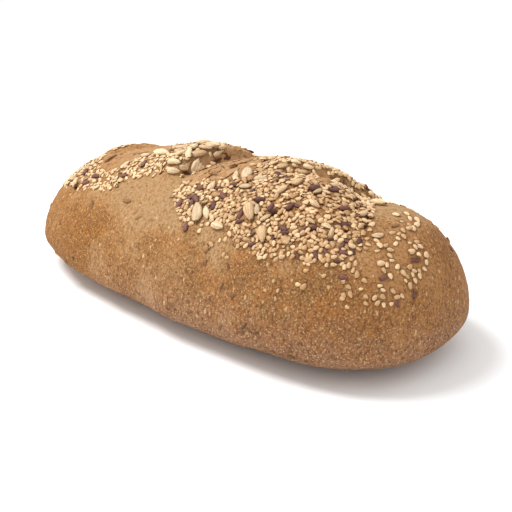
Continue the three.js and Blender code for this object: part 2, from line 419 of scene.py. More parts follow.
# Spots of paler and browner crust: column and row in the picture, radius in millimetres, and strength,
# which is negative where the crust is browner. Two places are painted light: the pale spot low on the
# -X side stands for light from the left, and the browner spots at the +X end are kept weak to lighten
# that end where it lies in shade
SPOTS = (
    (143, 227, 17, 0.8), (122, 197, 12, 0.5), (165, 205, 14, 0.5), (80, 226, 15, -0.8),
    (105, 275, 14, 0.9), (290, 357, 6, -1), (306, 361, 5, -1), (248, 330, 7, -1), (133, 157, 6, 0.8),
    (120, 163, 5, 0.6), (150, 153, 5, 0.6), (160, 255, 15, -0.6), (141, 287, 10, 0.6),
    (222, 290, 9, -0.5), (186, 306, 9, 0.5), (205, 240, 11, 0.35), (290, 305, 24, -0.5),
    (345, 325, 22, -0.6), (400, 213, 16, 0.65), (438, 240, 13, -0.55), (455, 285, 18, -0.25),
    (370, 312, 9, 0.4), (425, 320, 14, -0.3), (62, 190, 9, 0.1), (250, 270, 12, -0.2), (178, 275, 9, 0.3),
    (345, 200, 22, -0.8), (318, 218, 18, -0.6), (355, 232, 16, -0.7), (280, 215, 14, -0.3),
    (394, 243, 15, 0.6), (388, 270, 13, 0.45), (360, 256, 12, 0.4), (405, 290, 9, 0.3),
    (210, 235, 12, 0.3),
)
# Spots bare of seeds inside the bed: column and row in the picture, radius in millimetres
BARE_SPOTS = (
    (250, 183, 2.5), (349, 199, 3), (362, 212, 3), (293, 186, 3), (322, 214, 2.5), (196, 206, 2),
    (276, 200, 2),
)


@functools.lru_cache(maxsize=1)
def plain_crust():
    """The crust with its slashes alone on a grid of about a millimetre, as points and their place in
    the picture, with the cells that face away from the camera set far off."""
    angles = equal_steps(*LOOKUP_ANGLES, LOOKUP_AROUND, middle_section)
    x, angle = np.meshgrid(loaf_stations(LOOKUP_STATIONS)[2:-2], angles, indexing="ij")
    points = smooth_body(x, angle)
    normal = body_normals(x, angle)
    slashes = slash_relief(points, normal)
    on_top = smooth_step(*SLASHED, np.sin(angle))[..., None]
    points = points + on_top * (normal * slashes.height[..., None] + slashes.lean)
    normal = unit(np.cross(np.gradient(points, axis=1), np.gradient(points, axis=0)))
    column, row, to_camera = seen_from_camera(points)
    away = (normal * to_camera).sum(-1) <= 0
    return points, normal, np.where(away, FAR_OFF, column), row


def seen_point(column, row):
    """The point of the crust at a place in the picture, and the normal there."""
    points, normal, columns, rows = plain_crust()
    cell = np.argmin((columns - column) ** 2 + (rows - row) ** 2)
    return points.reshape(-1, 3)[cell], normal.reshape(-1, 3)[cell]


def line_distance(points, start, end):
    """The distance of points to the straight line between two others, whose nearest place is a share
    from 0 to 1 of the way along it."""
    part = np.clip((points - start) @ (end - start) / max(((end - start) ** 2).sum(), 1e-12), 0, 1)
    return np.linalg.norm(points - start - part[..., None] * (end - start), axis=-1)


def cavity_relief(points, normal):
    """Height of the cavities and the shade painted in them: hollows that are lenses in the picture,
    along the line between their ends, each with a swollen lip above it. The painted shade is 0.5 at a
    hollow's edge and grows inward, steeply below the lip and slowly at the lower side, where the hollow
    runs out. On the crust a hollow keeps near its line, and nearest where the camera sees the crust at
    a grazing angle, and it fades out on crust that faces away."""
    height = np.zeros(points.shape[:-1])
    dark = np.zeros(points.shape[:-1])
    column, row, to_camera = seen_from_camera(points)
    to_camera = to_camera / np.linalg.norm(to_camera, axis=-1, keepdims=True)
    cosine = (normal * to_camera).sum(-1)
    facing = smooth_step(-0.3, -0.05, cosine)
    for left, top, right, bottom, half in CAVITIES:
        middle = seen_point((left + right) / 2, (top + bottom) / 2)[0]
        length = math.hypot(right - left, bottom - top)
        near = np.nonzero(np.linalg.norm(points - middle, axis=-1) < (4 + 0.9 * length) * MM)
        here = points[near]
        ends = (seen_point(left, top)[0], seen_point(right, bottom)[0])
        off_line = np.minimum(*(line_distance(here, middle, end) for end in ends))
        reach = mix(1.3 + 0.8 * half, 4 + half, smooth_step(0.1, 0.4, cosine[near])) * MM
        close = smooth_step(reach, 0.5 * reach, off_line)
        over, down = column[near] - left, row[near] - top
        part = (over * (right - left) + down * (bottom - top)) / length**2
        off = (over * (bottom - top) - down * (right - left)) / length
        off = off + 0.6 * lattice_noise(here, 2.5 * MM, 91) + 1.1 * lattice_noise(here, 7 * MM, 92)
        lens = np.sqrt(np.clip(1 - (2 * part - 1) ** 2, 0, 1)) * (1 + 0.5 * lattice_noise(here, 4 * MM, 93))
        hollow = lens * bump(off, half * np.maximum(lens, 0.3))
        lip = lens * bump(off - 2 * half - 0.5, half + 0.5)
        height[near] += MM * half * (0.8 * lip - 1.0 * hollow) * close
        inward = np.where(lens > 0, (half * lens - np.abs(off) * np.where(off > 0, 1, 0.45)) / 1.2, -1)
        # painted shade: darkest just under the lip, running out towards the lower side
        dark[near] = np.maximum(dark[near], np.clip(0.5 + 0.5 * inward, 0, 1) * close)
    return height * facing, dark * facing


def spots_share(spots, points):
    """A sum of bells round the middles of spots, each of its own strength, held within -1 to 1."""
    total = np.zeros(points.shape[:-1])
    for column, row, radius, strength in spots:
        middle, _ = seen_point(column, row)
        total += strength * bump(np.linalg.norm(points - middle, axis=-1), radius * MM)
    return np.clip(total, -1, 1)


def dough_waves(x, angle):
    """Slow unevenness of hand-shaped dough: three sine waves over the crust."""
    along = x / MM
    return MM * (
        0.5 * np.sin(along / 23 + 1.3 + 1.2 * np.sin(angle))
        + 0.4 * np.sin(along / 13 - 2 * angle + 0.6)
        + 0.3 * np.sin(along / 7.5 + 3 * angle + 2.1)
    )


def crust_relief(x, angle):
    """The smooth body with its waves, lumps, small pits, slashes and cavities moved out along its
    normals, and with a rim just above the tray that noise pushes sideways: points, and the masks for
    torn dough, for the shade painted in crevices and cavities, and for pits."""
    points = smooth_body(x, angle)
    normal = body_normals(x, angle)
    off_tray = smooth_step(*WAVED, points[..., 2])
    on_top = smooth_step(*SLASHED, np.sin(angle))
    slashes = slash_relief(points, normal)
    slashed = points + on_top[..., None] * (normal * slashes.height[..., None] + slashes.lean)
    hollows, dark = cavity_relief(slashed, normal)
    lumps = 0.35 * MM * fractal(points, 14 * MM, 51) + 0.16 * MM * fractal(points, 3.2 * MM, 61)
    rim = MM * (1.7 * lattice_noise(points, 7 * MM, 71) + 1.1 * lattice_noise(points, 3.2 * MM, 72))
    rim = rim * bump(points[..., 2] - RIM_HEIGHT, RIM_REACH)
    outward = normal * (1, 1, 0) / np.maximum(np.linalg.norm(normal[..., :2], axis=-1, keepdims=True), 0.3)
    pits = smooth_step(0.62, 0.95, lattice_noise(points, 4.2 * MM, 81)) * off_tray
    height = off_tray * (dough_waves(x, angle) + lumps) * fullness(x, PLAN_POWER)
    height += on_top * (slashes.height + hollows) - PIT_DEPTH * pits * (1 - on_top * slashes.torn)
    points = points + normal * height[..., None] + outward * rim[..., None]
    points = points + on_top[..., None] * slashes.lean
    points[..., 2] = np.maximum(points[..., 2], 0)
    return points, on_top * slashes.torn, on_top * np.maximum(slashes.deep_shade, dark), pits


def plan_outline(x):
    """Half the loaf's outline in plan."""
    return np.stack([x, WIDTH / 2 * fullness(x, PLAN_POWER)], axis=-1)


def loaf_stations(count):
    """Places along the loaf at equal steps of its outline in plan."""
    return equal_steps(-HALF, HALF, count, plan_outline)


def middle_section(angle):
    """The section halfway along the loaf."""
    return smooth_body(np.zeros_like(angle), angle)


def section_angles(count):
    """Angles round the section: closest on the slashed top, widest apart on the flat underside."""
    def density(angle):
        return np.interp(np.sin(angle), *zip(*CLOSENESS))

    return equal_steps(0, 2 * math.pi, count + 1, middle_section, density)[:-1]


def new_mesh(name, points, quads=None, triangles=None, attributes=None):
    """A mesh from whole arrays: points (n, 3), quads (q, 4), triangles (t, 3), and colour attributes
    of four numbers a point."""
    quads = np.zeros((0, 4), np.int32) if quads is None else np.asarray(quads, np.int32)
    triangles = np.zeros((0, 3), np.int32) if triangles is None else np.asarray(triangles, np.int32)
    mesh = bpy.data.meshes.new(name)
    mesh.vertices.add(len(points))
    mesh.vertices.foreach_set("co", np.ascontiguousarray(points, np.float32).ravel())
    corners = np.concatenate([quads.ravel(), triangles.ravel()])
    mesh.loops.add(len(corners))
    mesh.loops.foreach_set("vertex_index", corners)
    starts = np.concatenate([np.arange(len(quads)) * 4, len(quads) * 4 + np.arange(len(triangles)) * 3])
    mesh.polygons.add(len(starts))
    mesh.polygons.foreach_set("loop_start", starts.astype(np.int32))
    mesh.update(calc_edges=True)
    mesh.polygons.foreach_set("use_smooth", np.ones(len(starts), bool))
    for key, values in (attributes or {}).items():
        layer = mesh.attributes.new(key, "FLOAT_COLOR", "POINT")
        layer.data.foreach_set("color", np.ascontiguousarray(values, np.float32).ravel())
    piece = bpy.data.objects.new(name, mesh)
    bpy.context.scene.collection.objects.link(piece)
    return piece


def tube_faces(rings, around, first=0):
    """Quads between rings of points, each ring closed on itself, as point numbers."""
    ring, step = np.meshgrid(np.arange(rings - 1), np.arange(around), indexing="ij")
    a = first + ring * around + step
    b = first + ring * around + (step + 1) % around
    return np.stack([a, b, b + around, a + around], axis=-1).reshape(-1, 4)


def end_faces(pole, start, around, outward):
    """Triangles from a pole to a ring of points."""
    step = np.arange(around)
    a, b = start + step, start + (step + 1) % around
    fan = [np.full(around, pole), b, a] if outward else [np.full(around, pole), a, b]
    return np.stack(fan, axis=-1)


# Folds of torn dough

# Millimetres across a slash, of lift and of width
FOLD_ROWS = ((-23, 1.0, 6), (-17, 1.3, 6), (-11, 1.3, 6), (-5, 1.3, 5), (0.8, 1.7, 4), (4.8, 1.7, 3.6))
FOLD_STEPS = 44  # points of a fold along it
FOLD_LAP = 18  # and round it
FOLD_WAVES = 5  # sine waves that make its edge ragged
FOLD_THICK = 1.9 * MM  # at its root
FOLD_TORN = 0.25  # the least share of a fold that lies on torn dough


def top_angle(x, y):
    """The section's angle over a place in plan, on the upper side."""
    share = y / (WIDTH / 2 * fullness(x, PLAN_POWER))
    return np.arccos(power(np.clip(share, -1, 1), ACROSS_POWER / 2))


def fold_sheet(cut, along, across, length, width, lift, random):
    """One lip of torn dough in a slash: its root runs along the slash and is sunk in the wall, and it
    reaches towards the valley while it lifts off the crust, to a ragged edge. Its section is a closed
    loop, over the top to the edge and back underneath, that shrinks to nothing at both ends. Its
    underside carries painted shade, and so do the cavities it crosses."""
    s = np.linspace(0, 1, FOLD_STEPS)[:, None]
    turn = np.linspace(0, 2 * math.pi, FOLD_LAP, endpoint=False)[None, :]
    reach = (1 - np.cos(turn)) / 2
    lens = np.sin(math.pi * np.clip(s, 0.002, 0.998)) ** 0.6
    wobble = sum(
        random.normal(0, 0.5) * np.sin(k * 5 * s + random.uniform(0, 6)) / k
        for k in range(1, FOLD_WAVES + 1)
    )
    ragged = np.clip(1 + 0.3 * wobble, 0.4, 1.7)
    a = along + (s - 0.5) * length + 0 * turn
    c = across + cut.bend * (a / cut.half) ** 2 + 0.7 * MM * wobble - width * lens * ragged * reach
    slant = math.radians(cut.slant)
    x = cut.x + a * math.cos(slant) - c * math.sin(slant)
    y = cut.y + a * math.sin(slant) + c * math.cos(slant)
    angle = top_angle(x, y)
    ground, torn, deep_shade, _ = crust_relief(x, angle)
    normal = body_normals(x, angle)
    thick = FOLD_THICK * lens * (1 - 0.6 * reach) * torn
    raise_by = 0.65 * lift * lens * ragged * reach**1.4 * (1 - 0.8 * smooth_step(0.3, 0.6, deep_shade)) * torn
    raise_by += 0.5 * thick * np.sin(turn) - mix(1.5, 0.3, torn) * MM
    points = ground + normal * raise_by[..., None]
    points += normal * (0.22 * MM * lens * lattice_noise(points, 1.9 * MM, 77))[..., None]
    # painted shade on the underside and in the cavities
    shade = np.maximum(0.45 * smooth_step(-0.3, -0.9, np.sin(turn)), cavity_relief(points, normal)[1])
    return points, shade, torn


def fold_sheets():
    """Rows of lips along the second slash, each row's lips end to end with small overlaps."""
    random = np.random.default_rng(7)
    cut = SLASHES[1]
    points, shade = [], []
    for across, lift, wide in FOLD_ROWS:
        along = -0.7 * cut.half + random.uniform(0, 5) * MM
        while along < 0.8 * cut.half:
            length = random.uniform(9, 21) * MM
            width = wide * random.uniform(0.75, 1.25) * MM
            middle = along + length / 2
            room = math.sqrt(max(0.05, 1 - min(1, abs(middle / cut.half)) ** 2))
            along += length * random.uniform(0.7, 1.15)
            sheet, dark, torn = fold_sheet(
                cut, middle, across * MM + random.normal(0, 0.7) * MM, length, width * room,
                lift * MM * room * random.uniform(0.6, 1.5), random
            )
            if torn.mean() > FOLD_TORN:
                points.append(sheet)
                shade.append(dark)
    return np.array(points), np.array(shade)


# Seeds


class Kind(NamedTuple):
    """A kind of seed: its size in metres, how much one end narrows, how jagged it is, how many
    sides and rings its mesh has, how much of it is sunk in the crust, and how much sizes differ."""

    length: float
    width: float
    thick: float
    taper: float
    jag: float
    sides: int
    rings: int
    sunk: float
    spread: float


KERNEL = Kind(8.8 * MM, 4.0 * MM, 2.6 * MM, 0.3, 0.035, 9, 8, 0.2, 0.12)
PUMPKIN = Kind(9.0 * MM, 4.9 * MM, 2.2 * MM, 0.16, 0.03, 9, 8, 0.25, 0.1)
LINSEED = Kind(4.8 * MM, 2.4 * MM, 1.2 * MM, 0.2, 0.0, 8, 6, 0.25, 0.1)
SESAME = Kind(3.4 * MM, 2.25 * MM, 1.15 * MM, 0.22, 0.02, 7, 6, 0.36, 0.13)
GRAIN = Kind(4.6 * MM, 2.0 * MM, 1.1 * MM, 0.1, 0.04, 8, 6, 0.55, 0.15)
CHIP = Kind(4.2 * MM, 2.8 * MM, 0.9 * MM, 0.1, 0.2, 6, 4, 0.25, 0.3)
CRUMB = Kind(1.3 * MM, 1.0 * MM, 0.7 * MM, 0.0, 0.22, 5, 3, 0.4, 0.35)
KINDS = {
    "kernel": KERNEL, "pumpkin": PUMPKIN, "linseed": LINSEED, "sesame": SESAME, "chip": CHIP,
    "grain": GRAIN, "crumb": CRUMB,
}

# Outline of the seed bed in the picture, from its left end along its near edge, up round the tongue of
# bare crust and along to the last lobe, then back over the top, beyond the loaf
BED_OUTLINE = (
    (46, 190), (60, 186), (76, 189), (90, 188), (103, 191), (115, 189), (122, 182), (132, 178),
    (140, 180), (150, 175), (163, 172), (177, 175), (186, 178), (177, 189), (172, 199), (176, 208),
    (181, 222), (187, 229), (196, 224), (205, 226), (214, 231), (222, 228), (232, 236), (238, 247),
    (250, 249), (258, 262), (268, 258), (280, 262), (290, 256), (300, 262), (309, 268), (320, 262),
    (335, 267), (352, 262), (362, 250), (368, 232), (370, 215), (378, 204), (396, 196), (400, 90),
    (40, 90),
)
# Its edges in plan where the camera doesn't see it, in millimetres
FAR_EDGE = (
    (-122, 28), (-100, 40), (-60, 46), (-10, 49), (30, 44), (52, 32), (72, 36), (95, 44), (118, 36),
    (133, 18),
)
# Its ends, and how far it comes down the near side there
BED_ENDS = (-119 * MM, 130 * MM)
BED_NEAR = -45 * MM
# Where the last lobe begins, and how much that place moves towards -X per metre of y
LOBE = (104 * MM, 2 * MM)
LOBE_SLANT = 0.55
RASTER = 0.5 * MM  # cells of the grid on which the seeds are laid
PLAN_LENGTH = 0.42  # about the loaf's outline in plan, from end to end
# Seeds that stand out in the picture: column, row, turn anticlockwise from the right in degrees, and
# length, in pixels; the turn points to the narrower end
SEEN = {
    "kernel": (
        (182, 154, 25, 15), (199, 154, 12, 15), (206, 149, -8, 14), (195, 166, 75, 16),
        (194, 149, 35, 10), (174, 171, -3, 13), (175, 163, -6, 12), (217, 154, 25, 8), (190, 155, 62, 8),
        (212, 187, 60, 12), (184, 168, -10, 9), (163, 154, -3, 15), (199, 168, 78, 9),
        (207, 214, -85, 11), (219, 226, -20, 12), (250, 213, -80, 18), (263, 235, -85, 17),
        (282, 191, 32, 15), (303, 172, 0, 11), (298, 183, 40, 12), (315, 205, -35, 12),
        (326, 193, -30, 10), (327, 226, -30, 11), (331, 234, 80, 10), (363, 214, 20, 9),
        (377, 236, 188, 10), (379, 204, -15, 15), (266, 218, 25, 10), (283, 166, 5, 11),
        (296, 163, -8, 10), (274, 164, 12, 9), (309, 167, -18, 10), (126, 166, 40, 11), (146, 156, 10, 8),
        (311, 222, -30, 10), (236, 176, 78, 9),
    ),
    "pumpkin": (
        (183, 148, 12, 14), (198, 213, 86, 18), (247, 174, 80, 13), (261, 179, 5, 13), (335, 186, 0, 8),
        (246, 187, -10, 11), (318, 193, 60, 7), (258, 210, 88, 8),
    ),
    "linseed": (
        (180, 204, 48, 10), (190, 198, 25, 9), (196, 199, -60, 8), (201, 188, 20, 8), (214, 206, 80, 10),
        (219, 188, 10, 8), (224, 197, -45, 9), (234, 185, 0, 9), (186, 227, 80, 10), (241, 214, 60, 10),
        (240, 222, 15, 9), (253, 235, 40, 8), (252, 245, 20, 8), (278, 175, -80, 8), (278, 181, 10, 7),
        (287, 178, -10, 8), (298, 206, -20, 8), (290, 207, 38, 11), (271, 208, 60, 9), (274, 212, -20, 9),
        (260, 200, 5, 11), (314, 189, 5, 11), (343, 185, -25, 9), (334, 191, 0, 10), (354, 199, 20, 10),
        (344, 209, 0, 11), (365, 219, 20, 8), (315, 228, 10, 9), (308, 229, 0, 7), (283, 229, -30, 9),
        (285, 233, 8, 9), (303, 230, 30, 10), (298, 257, -50, 8), (343, 253, -15, 11),
        (343, 277, -10, 10), (384, 278, 20, 9), (414, 294, 85, 9), (414, 260, 10, 11), (397, 303, 88, 6),
        (451, 249, -60, 6), (96, 177, 0, 11), (86, 172, 70, 8), (144, 164, 60, 9), (124, 176, 0, 7),
        (86, 183, 20, 7), (331, 239, 10, 7), (337, 262, 0, 7),
    ),
    "chip": (
        (216, 195, 0, 10), (207, 249, 45, 9), (252, 228, 20, 6), (252, 179, 60, 7), (247, 187, 0, 10),
        (298, 199, 20, 9), (314, 183, 5, 9), (337, 196, 80, 6), (325, 209, -35, 7), (347, 214, 40, 6),
        (116, 185, -45, 9), (121, 181, -20, 8), (118, 175, 0, 6), (343, 282, 5, 6), (205, 203, 30, 9),
        (95, 181, 0, 6),
    ),
    "grain": (
        (92, 205, 85, 10), (127, 201, -10, 9), (139, 217, 35, 8), (174, 233, 80, 6), (176, 300, 55, 8),
        (182, 303, 20, 6), (171, 305, -20, 6), (190, 312, 10, 6), (222, 286, 60, 6), (228, 268, 85, 7),
        (66, 262, 70, 6), (244, 326, 50, 7), (250, 331, -50, 8), (256, 333, 20, 6), (242, 332, 10, 6),
        (290, 357, 5, 7), (306, 361, 0, 6), (262, 348, 10, 6), (272, 352, 0, 6), (281, 355, 10, 5),
        (299, 359, 0, 5), (105, 180, 10, 7), (233, 296, 20, 6), (396, 226, 20, 7), (60, 222, 80, 6),
        (205, 263, 75, 6),
    ),
    "sesame": (
        (191, 224, 5, 6), (203, 222, 20, 4), (200, 231, 65, 6), (230, 234, -65, 6), (220, 240, 75, 5),
        (226, 239, 60, 6), (240, 237, -10, 6), (239, 232, 85, 5), (249, 235, 5, 5), (211, 244, -35, 6),
        (224, 254, 62, 6), (227, 258, 10, 5), (246, 246, 42, 7), (245, 218, 80, 6), (245, 225, -20, 6),
        (213, 164, 0, 6), (203, 168, 65, 6), (209, 167, 0, 5), (222, 178, 0, 5), (345, 175, 0, 6),
        (242, 172, 50, 5), (187, 159, 0, 5), (260, 166, 80, 5), (349, 179, -60, 6), (358, 186, 85, 6),
        (252, 165, 8, 6), (234, 223, 50, 6), (258, 240, 70, 5), (264, 250, 60, 7), (265, 256, 50, 7),
        (260, 258, 5, 6), (271, 250, 88, 6), (272, 256, 80, 6), (276, 259, 40, 7), (278, 246, 88, 5),
        (284, 246, 50, 5), (288, 248, 80, 6), (283, 251, 10, 6), (293, 251, 55, 6), (301, 253, -30, 6),
        (307, 255, 80, 5), (308, 264, -30, 5), (311, 262, 0, 5), (327, 265, 75, 6), (334, 257, 8, 7),
        (334, 265, -5, 7), (342, 264, 35, 6), (324, 276, 30, 6), (298, 284, -5, 6), (304, 287, 45, 8),
        (278, 291, 60, 4), (265, 291, -30, 4), (276, 298, 90, 5), (306, 271, 20, 6), (345, 267, 75, 6),
        (349, 265, 80, 7), (356, 263, 80, 6), (353, 270, 75, 6), (357, 274, 85, 8), (364, 281, -30, 7),
        (349, 287, -35, 6), (361, 289, 10, 4), (344, 296, -70, 7), (350, 294, -75, 8), (342, 299, -15, 6),
        (347, 307, -30, 3), (366, 297, -35, 6), (366, 304, -25, 6), (375, 298, 55, 7), (383, 297, -25, 7),
        (383, 290, -15, 6), (380, 286, 5, 6), (378, 303, 50, 7), (384, 305, -80, 6), (393, 291, -45, 7),
        (397, 297, 15, 7), (402, 296, -45, 6), (391, 304, 30, 5), (384, 271, -60, 7), (390, 276, -70, 7),
        (381, 263, 0, 9), (387, 265, 90, 6), (398, 267, 70, 6), (403, 273, -50, 8), (407, 277, -50, 5),
        (406, 281, -60, 4), (410, 267, 45, 6), (410, 286, -85, 8), (413, 275, -85, 6), (415, 281, -75, 7),
        (414, 271, -20, 6), (419, 271, -60, 6), (419, 276, -75, 7), (424, 269, -50, 6), (392, 261, 5, 6),
        (390, 256, -50, 7), (372, 205, 0, 6), (369, 200, -60, 6), (373, 210, -20, 6), (371, 217, 50, 6),
        (372, 225, 40, 6), (369, 222, 20, 5), (370, 230, 80, 4), (396, 215, -30, 7), (396, 219, -20, 7),
        (402, 222, 0, 4), (407, 214, -40, 6), (410, 219, -60, 5), (417, 220, -55, 8), (417, 225, 45, 6),
        (409, 225, -30, 6), (413, 229, 80, 5), (417, 228, 85, 5), (409, 229, 5, 6), (403, 231, -60, 6),
        (399, 234, 45, 4), (404, 237, -60, 7), (398, 239, -40, 6), (392, 233, 15, 7), (396, 244, 60, 5),
        (417, 242, 30, 5), (415, 247, -65, 7), (420, 247, -15, 7), (410, 243, 0, 4), (412, 252, 25, 7),
        (418, 255, 75, 6), (426, 255, 85, 7), (426, 262, 88, 6), (377, 241, -30, 7), (380, 246, -60, 7),
        (386, 246, 45, 6), (377, 251, 15, 6), (390, 250, -10, 8), (367, 239, 20, 5), (368, 245, -25, 7),
        (366, 249, -10, 6), (363, 233, 88, 6), (96, 159, 50, 6), (100, 156, 45, 6), (93, 164, 50, 6),
        (105, 151, 40, 5), (270, 231, 85, 7), (296, 232, 40, 8), (294, 228, 5, 8), (293, 225, 0, 6),
        (348, 192, -5, 7),
    ),
}
BED_ANGLES = (-0.7, math.pi + 0.7)  # the part of the section that the grid spans
SEATED = ("kernel", "pumpkin", "linseed", "sesame", "grain")  # kinds round whose seats shade is painted on the crust
# Rounds of laying, and each kind's tries in a round
ROUNDS = 4
TRIES = {"kernel": 150, "pumpkin": 22, "linseed": 170, "sesame": 2600, "chip": 150, "crumb": 700}
GRAIN_TRIES = 70
PILE_LIMIT = 1.3 * MM  # mean height of the pile on which a seed still comes to lie
COVERED = 0.35 * MM  # height of the pile that counts as covered
FIRST_COVER = 0.1  # share of a seed that may lie on covered crust in the first round
GRAIN_COVER = 0.02  # and that of a grain baked into the bare crust
KEPT_SHARE = 0.22  # share of a seed that may lie on the seeds read from the picture
KEPT_SHARE_SEEN = 0.4  # and that of such a seed itself
LEAN_LIMIT = 0.4  # steepest slope that a seed takes from the pile


def outline_distance(outline, column, row):
    """Pixels from an outline in the picture, positive inside: the least distance to its sides, signed
    by how many of them a line to the right crosses."""
    corners = np.array(outline, float)
    least = np.full(column.shape, np.inf)
    crossed = np.zeros(column.shape, int)
    for (x0, y0), (x1, y1) in zip(corners, np.roll(corners, -1, axis=0)):
        part = ((column - x0) * (x1 - x0) + (row - y0) * (y1 - y0)) / ((x1 - x0) ** 2 + (y1 - y0) ** 2)
        part = np.clip(part, 0, 1)
        least = np.minimum(least, np.hypot(column - x0 - part * (x1 - x0), row - y0 - part * (y1 - y0)))
        between = (row < y0) != (row < y1)
        crossed += between & (column < x0 + (row - y0) * (x1 - x0) / (y1 - y0 if y1 != y0 else 1))
    return np.where(crossed % 2 == 1, least, -least)


def bed_share(x, y, seen):
    """1 inside the seed bed and 0 outside it, over a margin of a few millimetres; seen holds the
    distance inside the outline in the picture, and applies where the camera looks."""
    far = np.interp(x / MM, *zip(*FAR_EDGE)) * MM - y
    ends = np.minimum(x - BED_ENDS[0], BED_ENDS[1] - x)
    unseen = smooth_step(-1.5 * MM, 3.5 * MM, np.minimum(np.minimum(far, ends), y - BED_NEAR))
    return np.where(np.isfinite(seen), smooth_step(-2.5, 4.5, np.where(np.isfinite(seen), seen, 0)), unseen)


def right_lobe(x, y):
    """1 on the last lobe, beyond the last slash, where only sesame lies and thinly."""
    return smooth_step(-3 * MM, 4 * MM, x - LOBE[0] + LOBE_SLANT * (y - LOBE[1]))


def past_tongue(x):
    """0 on the loaf's -X end and 1 past the tongue of bare crust, where the seeds lie thickly."""
    return smooth_step(-60 * MM, -15 * MM, x)


class Laid(NamedTuple):
    """Seeds that lie on the loaf: centres, three axes each (along, across, up) and sizes."""

    centres: np.ndarray
    axes: np.ndarray
    sizes: np.ndarray


class Bed:
    """The crust's top as a fine grid of heights, on which seeds are laid one by one: each one settles
    on the plane through what already lies under it, and then raises the grid by its own dome."""

    def __init__(self):
        stations = loaf_stations(int(PLAN_LENGTH / RASTER))
        lap = middle_section(np.linspace(*BED_ANGLES, OUTLINE_SAMPLES))
        girth = np.linalg.norm(np.diff(lap, axis=0), axis=1).sum()
        angles = equal_steps(*BED_ANGLES, int(girth / RASTER), middle_section)
        x, angle = np.meshgrid(stations, angles, indexing="ij")
        self.points, self.torn, self.deep_shade, _ = crust_relief(x, angle)
        along = np.gradient(self.points, axis=0)
        across = np.gradient(self.points, axis=1)
        for _ in range(2):
            along, across = (self.blurred(v) for v in (along, across))
        self.step_along = np.maximum(np.linalg.norm(along, axis=-1), 0.1 * MM)
        self.step_across = np.maximum(np.linalg.norm(across, axis=-1), 0.1 * MM)
        self.normal = unit(np.cross(across, along))
        self.along = along / self.step_along[..., None]
        self.pile = np.zeros(x.shape)
        self.kept = np.zeros(x.shape, bool)
        self.column, self.row, to_camera = seen_from_camera(self.points)
        self.facing = (self.normal * to_camera).sum(-1) > 0

    @staticmethod
    def blurred(values):
        """Each value averaged with its neighbours, two cells each way."""
        for axis in (0, 1):
            values = sum(np.roll(values, k, axis) for k in (-2, -1, 0, 1, 2)) / 5
        return values

    def lay(self, i, j, kind, size, heading, tilt, pile_limit, cover_limit, keep=False):
        """One seed at cell (i, j): it rests between the mean of the pile under it and the highest point
        over the plane through that pile, and is tilted further by a slope of its own. None where the
        pile is too high or too much of it is covered. A seed that is kept stays free of later ones."""
        along, across = self.step_along[i, j], self.step_across[i, j]
        reach = kind.length * size / 2
        wide_i, wide_j = int(reach / along) + 1, int(reach / across) + 1
        if not (wide_i <= i < self.pile.shape[0] - wide_i and wide_j <= j < self.pile.shape[1] - wide_j):
            return None
        window = (slice(i - wide_i, i + wide_i + 1), slice(j - wide_j, j + wide_j + 1))
        u = np.arange(-wide_i, wide_i + 1)[:, None] * along
        v = -np.arange(-wide_j, wide_j + 1)[None, :] * across
        lengthwise = u * math.cos(heading) + v * math.sin(heading)
        sideways = -u * math.sin(heading) + v * math.cos(heading)
        q = (lengthwise / reach) ** 2 + (sideways / (kind.width * size / 2)) ** 2
        inside = q < 1
        under = self.pile[window][inside]
        if under.size < 4 or self.kept[window][inside].mean() > (KEPT_SHARE_SEEN if keep else KEPT_SHARE):
            return None
        if under.mean() > pile_limit or (under > COVERED).mean() > cover_limit:
            return None
        du, dv = (u + 0 * v)[inside], (v + 0 * u)[inside]
        slope_u = np.clip((du * under).mean() / (du * du).mean(), -LEAN_LIMIT, LEAN_LIMIT)
        slope_v = np.clip((dv * under).mean() / (dv * dv).mean(), -LEAN_LIMIT, LEAN_LIMIT)
        base = 0.65 * under.mean() + 0.35 * (under - slope_u * du - slope_v * dv).max()
        slope_u, slope_v = slope_u + tilt[0], slope_v + tilt[1]
        dome = (1 - kind.sunk) * kind.thick * size * np.sqrt(1 - q[inside])
        rise = base + slope_u * du + slope_v * dv + dome
        lifted = self.pile[window]
        lifted[inside] = np.maximum(under, rise)
        if keep:
            self.kept[window] |= inside
        normal, u_axis = self.normal[i, j], self.along[i, j]
        v_axis = np.cross(normal, u_axis)
        up = normal - slope_u * u_axis - slope_v * v_axis
        up /= np.linalg.norm(up)
        ahead = u_axis * math.cos(heading) + v_axis * math.sin(heading)
        ahead -= up * (ahead @ up)
        ahead /= np.linalg.norm(ahead)
        centre = self.points[i, j] + normal * (base + (0.5 - kind.sunk) * kind.thick * size)
        return centre, np.stack([ahead, np.cross(up, ahead), up])

    def lay_seen(self, kind, column, row, turn, length):
        """A seed at a place in the picture: the nearest cell that faces the camera carries it, and the
        picture's direction is turned into one on the crust through the steps of both axes there."""
        off = np.where(self.facing, (self.column - column) ** 2 + (self.row - row) ** 2, np.inf)
        i, j = np.unravel_index(np.argmin(off), off.shape)
        axes = np.stack([self.along[i, j], np.cross(self.normal[i, j], self.along[i, j])]) * MM
        columns, rows, _ = seen_from_camera(self.points[i, j] + np.concatenate([axes, [[0, 0, 0]]]))
        steps = np.stack([columns[:2] - columns[2], rows[:2] - rows[2]])
        heading = np.linalg.solve(steps, [math.cos(math.radians(turn)), -math.sin(math.radians(turn))])
        size = float(np.clip(1.08 * length * np.linalg.norm(heading) * MM / kind.length, 0.75, 1.5))
        tilt = (0.12 * math.sin(7 * column), 0.12 * math.sin(5 * row))
        place = self.lay(i, j, kind, size, math.atan2(heading[1], heading[0]), tilt, 1, 2, keep=True)
        return [] if place is None else [(*place, size)]

